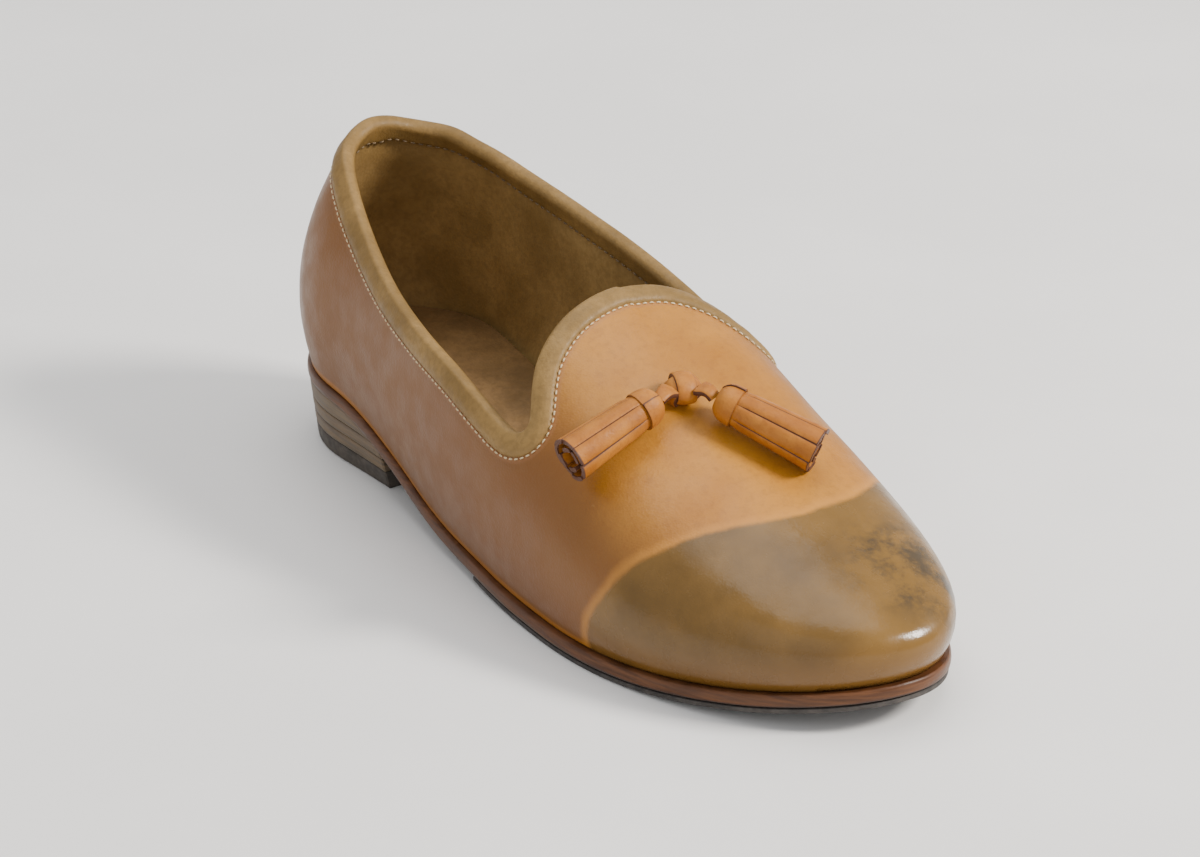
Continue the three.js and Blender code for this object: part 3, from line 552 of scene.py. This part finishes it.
def cork():
    p = Paint("filler_cork", roughness=0.9)
    colour = p.mix(p.ramp(p.pores(0.5), 0.1, 0.6), (0.30, 0.19, 0.10), (0.58, 0.42, 0.26))
    return p.finish(colour, None, [(p.pores(0.5), 0.3)])


def fibre_board(name, light, dark):
    p = Paint(name, roughness=0.85)
    fibres = p.noise(1.0, 6, 0.7, (1, 0.35, 1))
    return p.finish(p.mix(p.ramp(fibres, 0.3, 0.7), dark, light), None, [(fibres, 0.08)])


def metal(name, light, dark, stretch, **sockets):
    p = Paint(name, Metallic=1.0, **sockets)
    lines = p.noise(2.0, 4, 0.6, stretch)
    return p.finish(p.mix(p.ramp(lines, 0.3, 0.7), dark, light), p.ramp(lines, 0.3, 0.7, 0.25, 0.45),
                    [(lines, 0.01)])


def thread(name, light, dark):
    p = Paint(name, roughness=0.7)
    twist = p.noise(2.2, 2, 0.5, (1, 2, 1))
    return p.finish(p.mix(p.ramp(twist, 0.3, 0.7), dark, light), None, [(twist, 0.06)])


def studio_floor():
    p = Paint("floor_paint", roughness=0.6)
    colour = p.mix(p.ramp(p.noise(0.006, 6), 0.35, 0.7), (0.80, 0.785, 0.765), (0.85, 0.835, 0.815))
    return p.finish(colour, None, [(p.noise(0.25, 4), 0.02)])


MATERIALS = {
    "upper_leather": upper_leather(),
    "binding_leather": grained_leather("binding_leather", (0.27, 0.160, 0.050), (0.17, 0.098, 0.027)),
    "lining_leather": grained_leather(
        "lining_leather", (0.34, 0.215, 0.078), (0.22, 0.132, 0.042), (0.5, 0.72), 1.1),
    "sock_leather": grained_leather(
        "sock_leather", (0.26, 0.15, 0.058), (0.15, 0.085, 0.03), (0.5, 0.75), 1.1),
    "tassel_leather": strip_leather(),
    "sole_leather": sole_edge_leather(),
    "heel_leather": stacked_leather(),
    "sole_rubber": rubber("sole_rubber", (0.065, 0.055, 0.048), (0.03, 0.026, 0.023)),
    "heel_rubber": rubber("heel_rubber", (0.085, 0.068, 0.052), (0.04, 0.032, 0.025)),
    "filler_cork": cork(),
    "insole_board": fibre_board("insole_board", (0.60, 0.46, 0.30), (0.42, 0.31, 0.19)),
    "stiffener_board": fibre_board("stiffener_board", (0.66, 0.58, 0.44), (0.5, 0.42, 0.30)),
    "shank_steel": metal("shank_steel", (0.55, 0.56, 0.58), (0.34, 0.35, 0.37), (4, 0.1, 4)),
    "nail_brass": metal("nail_brass", (0.74, 0.56, 0.25), (0.48, 0.34, 0.14), (1, 1, 0.1)),
}
SEWING = thread("pale_thread", (0.70, 0.56, 0.34), (0.42, 0.30, 0.15))
INNER_SEWING = thread("dark_thread", (0.22, 0.15, 0.08), (0.09, 0.06, 0.03))


# ---------- upper, linings, binding ----------
def upper_fields(grid):
    """Where the dyed toe starts, how far up a point is, and the painted shade on the sides, from how much a
    point faces sideways and how near it is to the heel.
    """
    x, s, z = grid[..., 0], grid[..., 1], grid[..., 2]
    bend = np.where(x > 8, 0.0145, 0.0079)
    toe_line = s - (212 - bend * (x - 8) ** 2 - 0.4 * np.maximum(25 - z, 0))
    steps = np.linalg.norm(np.diff(grid, axis=1), axis=2)
    rise = np.concatenate([np.zeros((len(grid), 1)), np.cumsum(steps, 1)], 1)
    apart = np.linalg.norm(grid.reshape(-1, 1, 3) - rail[None], axis=2)
    drop = apart.min(1).reshape(rise.shape)
    # Painted shade mask for the sides: how much the wall faces sideways, full near the heel end.
    painted_side_shade = np.abs(wall_out[..., 0])
    painted_side_shade = np.maximum(painted_side_shade, np.clip((70 - s) / 40, 0, 1))
    smoke = np.exp(-(((x - 17) / 17) ** 2 + ((s - 236) / 16) ** 2 + ((z - 30) / 17) ** 2))
    return {"toe_line": toe_line, "rise": rise, "drop": drop, "painted_side_shade": painted_side_shade, "smoke": smoke}


def turned_in_edge():
    """The upper's edge turned in under the foot, one point per column."""
    edge = wall[:, 0]
    ahead = np.roll(edge, -1, 0) - np.roll(edge, 1, 0)
    n = np.stack([ahead[:, 1], -ahead[:, 0]], 1) / np.linalg.norm(ahead[:, :2], axis=1)[:, None]
    if (n * edge[:, :2]).sum() < (n * [0, LENGTH / 2]).sum():
        n = -n
    plan = edge[:, :2] - n * LASTING
    return np.stack([plan[:, 0], plan[:, 1], seat(plan[:, 0], plan[:, 1])], 1)


def build_upper():
    outer = wall[:, :-HIDDEN_ROWS]
    inner = outer - wall_out[:, :-HIDDEN_ROWS] * UPPER
    inner[:, 0, 2] = seat(inner[:, 0, 0], inner[:, 0, 1]) + UPPER
    lip = turned_in_edge()
    lip_top = lip + [0, 0, UPPER]
    rings = np.concatenate([outer, inner[:, ::-1], lip_top[:, None], lip[:, None]], 1)
    fields = {}
    for key, values in upper_fields(wall).items():
        values = values[:, :-HIDDEN_ROWS]
        fields[key] = np.concatenate([values, values[:, ::-1], values[:, :1], values[:, :1]], 1).ravel()
    piece = tube("upper_skin", rings, "shoe", MATERIALS["upper_leather"], True, fields)
    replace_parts(piece, "upper")


def build_lining(name, node, first, last):
    columns = np.arange(first, last + 1) % LOOP
    rows = wall.shape[1]
    blend = np.clip((rows - 1 - BAND_ROWS - np.arange(rows)) / 3, 0, 1)
    depth = UPPER + GAP + (STIFFENER + GAP) * blend
    near = wall - wall_out * depth[None, :, None]
    far = wall - wall_out * (depth + LINING)[None, :, None]
    for skin in (near, far):
        skin[:, 0, 2] = seat(skin[:, 0, 0], skin[:, 0, 1]) + INSOLE_LOW
    near, far = near[columns, :-HIDDEN_ROWS], far[columns, :-HIDDEN_ROWS]
    rings = np.concatenate([near, far[:, ::-1]], 1)
    piece = tube(name, rings, "shoe", MATERIALS["lining_leather"])
    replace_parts(piece, node)


def build_binding():
    """Rolled strip over the top edge of the upper and the lining."""
    turn = np.linspace(0, 2 * math.pi, RAIL, endpoint=False)
    ripple = (1 + 0.05 * np.sin(turn * 61) * np.sin(turn * 13))[:, None]
    swell = (0.25, 0.95, 1.2, 1.3, 1.25, 1.1, 1.0)
    ring = [row + n * size * ripple for row, n, size in zip(band, band_out, swell)]
    for angle in np.linspace(0, math.pi, 9)[1:-1]:
        side = (BINDING_OUT - BINDING_IN) / 2 + (BINDING_OUT + BINDING_IN) / 2 * math.cos(angle)
        ring.append(band[-1] + band_out[-1] * side + band_up * BINDING_RISE * math.sin(angle))
    for i in range(BAND_ROWS, -1, -1):
        ring.append(band[i] - band_out[i] * (BINDING_IN + (0.15 if i else -0.35)))
    rings = np.stack(ring, 1)
    piece = tube("binding_roll", rings, "shoe", MATERIALS["binding_leather"], True)
    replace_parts(piece, "topline_binding")


def build_stitches(name, offset, drop, spacing, length, material):
    """A line of short threads along the binding, drop below its edge, offset out of the wall."""
    path = band[0] + band_out[0] * offset - band_up * drop
    closed = np.concatenate([path, path[:1]])
    outward = np.concatenate([band_out[0], band_out[0][:1]])
    arc = arc_lengths(closed)
    sides = 6
    facing = math.copysign(1, offset + 1)
    verts, faces = [], []
    for i in range(int(arc[-1] / spacing)):
        base = len(verts)
        for along, thick in ((-0.5, 0.25), (-0.35, 0.9), (0, 1), (0.35, 0.9), (0.5, 0.25)):
            at = (i + 0.5) * spacing + along * length
            point, later, n = (
                np.array([np.interp(place, arc, line[:, j]) for j in range(3)])
                for place, line in ((at, closed), (at + 0.2, closed), (at, outward)))
            n = n * facing
            across = unit(np.cross(later - point, n))
            lift = 0.22 - 0.3 * abs(along)
            for a in np.linspace(0, 2 * math.pi, sides, endpoint=False):
                rise = lift + 0.22 * thick * math.sin(a)
                verts.append(point + n * rise + across * 0.27 * thick * math.cos(a))
        faces += [tuple(base + v for v in face) for face in rings_to_faces(5, sides, False)]
    make_piece(name, verts, faces, "shoe", material, sharp=80)


# ---------- sole and heel ----------
def clip_outline(outline, start, end):
    """The part of an outline between two distances from the heel back."""
    s = outline[:, 1]
    keep = outline[(s > start) & (s < end)]
    points = [keep]
    if start > s[0]:
        points.insert(0, [[np.interp(start, s, outline[:, 0]), start]])
    if end < s[-1]:
        points.append([[np.interp(end, s, outline[:, 0]), end]])
    return np.concatenate(points)


def slab(name, node, slot, low_margin, high_margin, bottom, top, start=-99.0, end=999.0, bulge=0.2):
    """A layer of the bottom, with a rounded and slightly bulging edge."""
    count, cells, bevel = 150, 12, 0.35
    across = (1 - np.cos(np.linspace(0, math.pi, cells + 1))) / 2
    spacing = (1 - np.cos(np.linspace(0, math.pi, count))) / 2

    def grid(margin):
        sides = []
        for side in (LATERAL, MEDIAL):
            outline = plan_outline(side, lambda s: margin(s) - bevel)
            sides.append(along_line(clip_outline(outline, start, end), spacing))
        return sides[0][:, None] * (1 - across[None, :, None]) + sides[1][:, None] * across[None, :, None]

    low, high = grid(low_margin), grid(high_margin)
    low_z, high_z = bottom(low[..., 0], low[..., 1]), top(high[..., 0], high[..., 1])
    rim = [(i, 0) for i in range(count)] + [(count - 1, j) for j in range(1, cells)]
    rim += [(i, cells) for i in range(count - 1, -1, -1)] + [(0, j) for j in range(cells - 1, 0, -1)]
    rows, cols = np.array(rim).T

    def level(f):
        plan = low[rows, cols] * (1 - f) + high[rows, cols] * f
        ahead = np.roll(plan, -1, 0) - np.roll(plan, 1, 0)
        n = np.stack([ahead[:, 1], -ahead[:, 0]], 1)
        n = n / np.maximum(np.linalg.norm(n, axis=1), 1e-6)[:, None]
        centre = plan.mean(0)
        n = n if (n * (plan - centre)).sum() > 0 else -n
        roundness = bevel * math.sin(math.pi * min(f, 1 - f, 0.12) / 0.24) + bulge * math.sin(math.pi * f)
        z = low_z[rows, cols] * (1 - f) + high_z[rows, cols] * f
        return np.concatenate([plan + n * roundness, z[:, None]], 1)

    verts, levels, faces = [], [], []
    for plan, z, f in ((low, low_z, 0.0), (high, high_z, 1.0)):
        base = len(verts)
        verts += list(np.concatenate([plan, z[..., None]], 2).reshape(-1, 3))
        levels += [f] * (count * (cells + 1))
        for i in range(count - 1):
            for j in range(cells):
                k = base + i * (cells + 1) + j
                faces.append((k, k + 1, k + cells + 2, k + cells + 1))
    fractions = (0.0, 0.04, 0.12, 0.3, 0.5, 0.7, 0.88, 0.96, 1.0)
    for f in fractions:
        verts += list(level(f))
        levels += [f] * len(rim)
    base, size = 2 * count * (cells + 1), len(rim)
    for r in range(len(fractions) - 1):
        for k in range(size):
            m = (k + 1) % size
            a = base + r * size
            faces.append((a + k, a + m, a + size + m, a + size + k))
    piece = make_piece(name, verts, faces, "shoe", MATERIALS[slot], {"level": levels}, 40)
    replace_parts(piece, node)
    return piece


def welt_margin(s):
    return smooth([(0, 0.9), (60, 0.9), (100, 1.2), (150, 1.9), (257, 2.0)], s)


def insole_margin(s):
    liner_edge = UPPER + GAP + STIFFENER + GAP + LINING
    return -(liner_edge + 1.3 + 2.3 * np.clip((s - 226) / 30, 0, 1))


def sole_top(x, s):
    return seat(x, s) - GAP


def sole_bottom(x, s):
    return sole_top(x, s) - OUTSOLE


def level_at(z):
    return lambda x, s: 0 * x + z


def heel_margin(z):
    """The heel block narrows downward, more at the breast than at the back."""
    return lambda s: 0.7 - (20 - z) / 20 * (1.2 + 4.0 * np.clip(s / BREAST, 0, 1))


def build_bottom():
    slab("sole_layer", "outsole", "sole_leather", welt_margin, welt_margin, sole_bottom, sole_top, bulge=0.25)
    slab("half_sole_layer", "half_sole", "sole_rubber",
         lambda s: welt_margin(s) - GAP, lambda s: welt_margin(s) - GAP,
         lambda x, s: seat(x, s) - HALF_BOTTOM, lambda x, s: sole_bottom(x, s) - GAP,
         start=HALF_SOLE_START, bulge=0.05)
    slab("sock", "sock_lining", "sock_leather",
         lambda s: insole_margin(s) - GAP, lambda s: insole_margin(s) - GAP,
         lambda x, s: seat(x, s) + SOCK_LOW, lambda x, s: seat(x, s) + SOCK_LOW + SOCK, bulge=0)
    for i in range(LEVEL_LIFTS):
        low = TOP_PIECE + SEAM + i * (LIFT + SEAM)
        slab(f"lift_layer_{i + 1}", f"heel_lift_{i + 1}", "heel_leather", heel_margin(low),
             heel_margin(low + LIFT), level_at(low), level_at(low + LIFT), end=BREAST, bulge=0.1)
    wedge = TOP_PIECE + SEAM + LEVEL_LIFTS * (LIFT + SEAM)
    slab(f"lift_layer_{LEVEL_LIFTS + 1}", f"heel_lift_{LEVEL_LIFTS + 1}", "heel_leather",
         heel_margin(wedge), heel_margin(wedge + 5), level_at(wedge),
         lambda x, s: sole_bottom(x, s) - SEAM, end=BREAST, bulge=0.1)
    tip = slab("heel_tip", "heel_top_piece", "heel_rubber", heel_margin(0), heel_margin(TOP_PIECE),
               level_at(0), level_at(TOP_PIECE), end=BREAST, bulge=0.1)
    drill_nail_holes(tip)


def drill_nail_holes(tip):
    """Five holes in a horseshoe, where the CAD's nails are."""
    bm = bmesh.new()
    for k in range(-2, 3):
        a = k * 0.72
        x, y, _ = to_row([18 * math.sin(a), 32 - 22 * math.cos(a), 0])
        made = bmesh.ops.create_cone(bm, cap_ends=True, segments=24, radius1=NAIL_HOLE_R / 1000,
                                     radius2=NAIL_HOLE_R / 1000, depth=2 * (TOP_PIECE + 1) / 1000)
        bmesh.ops.translate(bm, verts=made["verts"], vec=Vector((x, y, 0)))
    mesh = bpy.data.meshes.new("nail_drill")
    bm.to_mesh(mesh)
    bm.free()
    drill = bpy.data.objects.new("nail_drill", mesh)
    bpy.context.scene.collection.objects.link(drill)
    cut = tip.modifiers.new("holes", "BOOLEAN")
    cut.operation = "DIFFERENCE"
    cut.object = drill
    bpy.context.view_layer.update()
    result = bpy.data.meshes.new_from_object(tip.evaluated_get(bpy.context.evaluated_depsgraph_get()))
    tip.modifiers.clear()
    tip.data = result
    bpy.data.objects.remove(drill)


# ---------- knot and tassels, in the row frame, in metres ----------
def onto_top(x, s):
    lo, hi = float(smooth(SEAT, s) + smooth(EQUATOR, s)), 120.0
    for _ in range(40):
        mid = (lo + hi) / 2
        if form(np.float64(x), np.float64(s), np.float64(mid)) < 0:
            lo = mid
        else:
            hi = mid
    return Vector(to_row([x, s, lo]))


def frame_at(x, s):
    at = onto_top(x, s)
    along = (onto_top(x, s + 1.5) - at).normalized()
    across = (onto_top(x + 1.5, s) - at).normalized()
    normal = along.cross(across).normalized()
    return at, across, normal if normal.z > 0 else -normal


def ribbon(name, path, faces_to, width, thick, body, curl=0.0, taper=None, cut_end=False):
    """A flat strip along a path: faces_to is the outward direction at each point."""
    rings, cut = [], []
    count = len(path)
    for i, (point, out) in enumerate(zip(path, faces_to)):
        ahead = (path[min(i + 1, count - 1)] - path[max(i - 1, 0)]).normalized()
        side = ahead.cross(out).normalized()
        out = side.cross(ahead).normalized()
        w = width / 2000 * (1 if taper is None else taper[i])
        t = thick / 2000
        for a, b, dark in ((-0.9, 1, 0.2), (-0.5, 1.05, 0), (0, 1.1, 0), (0.5, 1.05, 0), (0.9, 1, 0.2),
                           (1, 0.6, 1), (1, -0.6, 1), (0.9, -1, 0.6), (0, -1, 0.3), (-0.9, -1, 0.6),
                           (-1, -0.6, 1), (-1, 0.6, 1)):
            rings.append(point + side * w * a + out * (t * b - curl / 1000 * a * a))
            cut.append(max(dark, 1.0 if cut_end and i == count - 1 else 0.0))
    rings = np.array([list(v) for v in rings]).reshape(count, 12, 3)
    return tube(name, rings, body, MATERIALS["tassel_leather"], False,
                {"cut": cut}, 50, True)


def joined(pieces, name):
    """Several meshes as one piece."""
    first = pieces[0]
    with bpy.context.temp_override(active_object=first, selected_editable_objects=pieces,
                                   selected_objects=pieces, object=first):
        bpy.ops.object.join()
    first.name = name
    return first


def build_knot():
    at, across, normal = frame_at(*KNOT)
    ahead = normal.cross(across).normalized()
    thick = 1.2
    arch_half, arch_rise, arch_drop = 4.6, 3.2, 4.3
    wrap_half, wrap_rise, wrap_drop = 4.3, 3.0, 3.6
    straps = []
    # Strap up through one hole, over the top and down through the other.
    arch, out = [], []
    for a in np.linspace(-0.25 * math.pi, 1.25 * math.pi, 22):
        direction = across * math.cos(a) * arch_half + normal * math.sin(a) * arch_rise
        arch.append(at + (normal * (KNOT_TOP - arch_drop) + direction) * MM)
        out.append(direction)
    straps.append(ribbon("knot_arch", arch, out, 5.8, thick, "shoe", 0.3))
    # Strap wrapped round the middle, slightly askew.
    wrap, out = [], []
    lean = (ahead + across * 0.35).normalized()
    for a in np.linspace(0, 2 * math.pi, 25):
        direction = lean * math.cos(a) * wrap_half + normal * math.sin(a) * wrap_rise
        wrap.append(at + (normal * (KNOT_TOP - wrap_drop) + direction) * MM)
        out.append(direction)
    straps.append(ribbon("knot_wrap", wrap, out, 5.4, thick, "shoe", 0.35))
    legs = []
    for side in (-1, 1):
        path = [at + (across * side * HOLE_APART + normal * z) * MM for z in np.linspace(-2.2, 3.2, 6)]
        legs.append(ribbon(f"knot_leg{side}", path, [across * side] * 6, 2.1, 1.4, "shoe"))
    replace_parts(joined(straps + legs, "knot_straps"), "thong_knot")


def tassel_frame(toward):
    size = math.hypot(*toward)
    dx, ds = toward[0] / size, toward[1] / size
    at, _, normal = frame_at(KNOT[0] + dx * TASSEL_TOUCH, KNOT[1] + ds * TASSEL_TOUCH)
    plan = Vector((dx, -ds, 0))
    along = (plan - normal * plan.dot(normal)).normalized()
    side = normal.cross(along).normalized()
    pivot = at + (normal * (TASSEL_R * FLARE + 0.4) + along * (NECK_START - TASSEL_TOUCH)) * MM
    return pivot, along, side, normal, plan


def build_lace(name, start, pivot, normal):
    """A short strap from inside the knot into the wrap, slightly arched."""
    arch = normal * 0.6 * MM
    path = [start.lerp(pivot, t) + arch * math.sin(math.pi * t) for t in np.linspace(-0.35, 1.15, 9)]
    taper = [1.25, 1.2, 1.1, 1.0, 0.95, 0.9, 0.85, 0.8, 0.75]
    piece = ribbon(f"lace_strap_{name}", path, [normal] * 9, 4.6, 1.5, f"lace_{name}", 0.3, taper)
    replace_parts(piece, f"lace_end_{name}")


def build_wrap(name, pivot, along, side, normal):
    """Leather wound round the strips: a tapered roll with one overlapping edge."""
    profile = [(1.2, 2.9), (1.9, 3.8), (2.9, 4.5), (4.2, 4.9), (5.8, 5.0), (NECK, 5.0)]
    turns, thick, growth = 1.12, 0.95, 0.5
    rings, cut = [], []
    steps = 40
    for i in range(steps + 1):
        turn = i / steps
        a = turn * 2 * math.pi * turns + 0.5
        ring = []
        for z, r in profile:
            ring.append((r + growth * turn, z))
        for z, r in reversed(profile):
            ring.append((max(r - thick, 0.4) + growth * turn, z))
        for k, (r, z) in enumerate(ring):
            p = pivot + (side * r * math.cos(a) + normal * r * math.sin(a) + along * z) * MM
            rings.append(p)
            end = k in (len(profile) - 1, len(profile))
            cut.append(1.0 if i in (0, steps) else 0.62 * end)
    rings = np.array([list(v) for v in rings]).reshape(steps + 1, 2 * len(profile), 3)
    piece = tube(f"wrap_{name}", rings, f"tassel_{name}",
                 MATERIALS["tassel_leather"], False, {"cut": cut}, 50, True)
    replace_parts(piece, f"collar_{name}")


def build_strips(name, pivot, along, side, normal):
    """Cut strips round a core of narrower ones, each a little different."""
    strips = []
    start = NECK - 2.5
    steps = np.append(np.linspace(0, 0.975, 10), 1)
    for layer, (count, radius, width) in enumerate(((STRANDS, 4.3, 4.0), (4, 2.2, 2.8))):
        for k in range(count):
            a = (k + 0.5 * layer) / count * 2 * math.pi
            outward = side * math.cos(a) + normal * math.sin(a)
            around = side * -math.sin(a) + normal * math.cos(a)
            length = NECK + GAP + FRINGE - start + chance.uniform(-0.9, 0.5)
            sway, flare = chance.uniform(-0.35, 0.35), chance.uniform(-0.15, 0.25)
            path = []
            for t in steps:
                r = radius * (1 + (FLARE - 1) * t) - 0.7 * (1 - min(t * 5, 1)) + flare * t * t
                place = outward * r + around * sway * t * t + along * (start + length * t)
                path.append(pivot + place * MM)
            strips.append(ribbon(f"strip_{name}_{layer}_{k}", path, [outward] * len(path), width, 1.2,
                                 f"tassel_{name}", 0.5 - 0.2 * layer, 1 + (FLARE - 1) * steps, True))
    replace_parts(joined(strips, f"strips_{name}"), f"fringe_{name}")


def build_tassels():
    at, _, knot_normal = frame_at(*KNOT)
    for name, toward in TASSELS.items():
        pivot, along, side, normal, plan = tassel_frame(toward)
        start = at + (knot_normal * (KNOT_TOP - LACE_OUT) + plan * (KNOT_HALF + 0.1)) * MM
        build_lace(name, start, pivot, (normal + knot_normal).normalized())
        build_wrap(name, pivot, along, side, normal)
        build_strips(name, pivot, along, side, normal)


# ---------- hidden CAD parts that stay as they are ----------
def paint_cad_nodes():
    for entry in frame["record"]["subparts"]:
        data = frame["nodes"][entry["node"]].data
        data.materials.clear()
        data.materials.append(MATERIALS[entry["material_slot"]])


# ---------- floor, light, camera ----------
def build_stage():
    """A pale floor that curves up into a backdrop."""
    width, front, back, radius = 4.0, -3.0, 1.6, 0.8
    profile = [(front, 0.0), (back, 0.0)]
    for a in np.linspace(0, math.pi / 2, 16)[1:]:
        profile.append((back + radius * math.sin(a), radius * (1 - math.cos(a))))
    profile.append((back + radius, 3.0))
    cos, sin = math.cos(math.radians(VIEW_TURN)), math.sin(math.radians(VIEW_TURN))
    verts = []
    for y, z in profile:
        for x in (-width, width):
            verts.append((x * cos + y * sin, y * cos - x * sin, z))
    faces = [(2 * i, 2 * i + 1, 2 * i + 3, 2 * i + 2) for i in range(len(profile) - 1)]
    mesh = bpy.data.meshes.new("floor")
    mesh.from_pydata(verts, [], faces)
    mesh.shade_smooth()
    mesh.materials.append(studio_floor())
    floor = bpy.data.objects.new("floor", mesh)
    bpy.context.scene.collection.objects.link(floor)


def add_light(name, place, power, size, colour):
    lamp = bpy.data.lights.new(name, "AREA")
    lamp.energy, lamp.size, lamp.color = power, size, colour
    light = bpy.data.objects.new(name, lamp)
    light.location = place
    light.rotation_euler = (Vector((0, 0, 0.03)) - Vector(place)).to_track_quat("-Z", "Y").to_euler()
    bpy.context.scene.collection.objects.link(light)


def build_lights():
    add_light("key", (0.95, -1.1, 1.15), 52, 0.45, (1.0, 0.955, 0.90))
    add_light("fill", (-1.5, -0.9, 1.0), 5, 1.6, (0.93, 0.96, 1.0))
    add_light("top", (0.1, 0.3, 1.9), 20, 1.5, (1.0, 1.0, 1.0))
    world = bpy.data.worlds.new("studio")
    world.use_nodes = True
    background = world.node_tree.nodes["Background"]
    background.inputs["Color"].default_value = (0.92, 0.93, 0.95, 1)
    background.inputs["Strength"].default_value = 0.8
    bpy.context.scene.world = world


def build_camera():
    """The photograph's viewing direction, with a longer lens so that one shoe fills the view."""
    place = Vector((-0.5743, -0.8078, 0.4782))
    camera = bpy.data.cameras.new("camera")
    camera.lens = 122
    holder = bpy.data.objects.new("camera", camera)
    holder.location = place
    holder.rotation_euler = (Vector((0.0, 0.0, 0.036)) - place).to_track_quat("-Z", "Y").to_euler()
    bpy.context.scene.collection.objects.link(holder)
    bpy.context.scene.camera = holder


paint_cad_nodes()
build_upper()
build_lining("vamp_lining_skin", "vamp_lining", LINING_SEAM, LOOP - LINING_SEAM)
build_lining("quarter_lining_skin", "quarter_lining", -LINING_SEAM, LINING_SEAM)
build_binding()
build_stitches("binding_stitches", 0.1, 0.5, 2.0, 1.35, SEWING)
build_stitches("inner_stitches", -3.5, -0.8, 2.4, 1.5, INNER_SEWING)
build_bottom()
build_knot()
build_tassels()
build_stage()
build_lights()
build_camera()
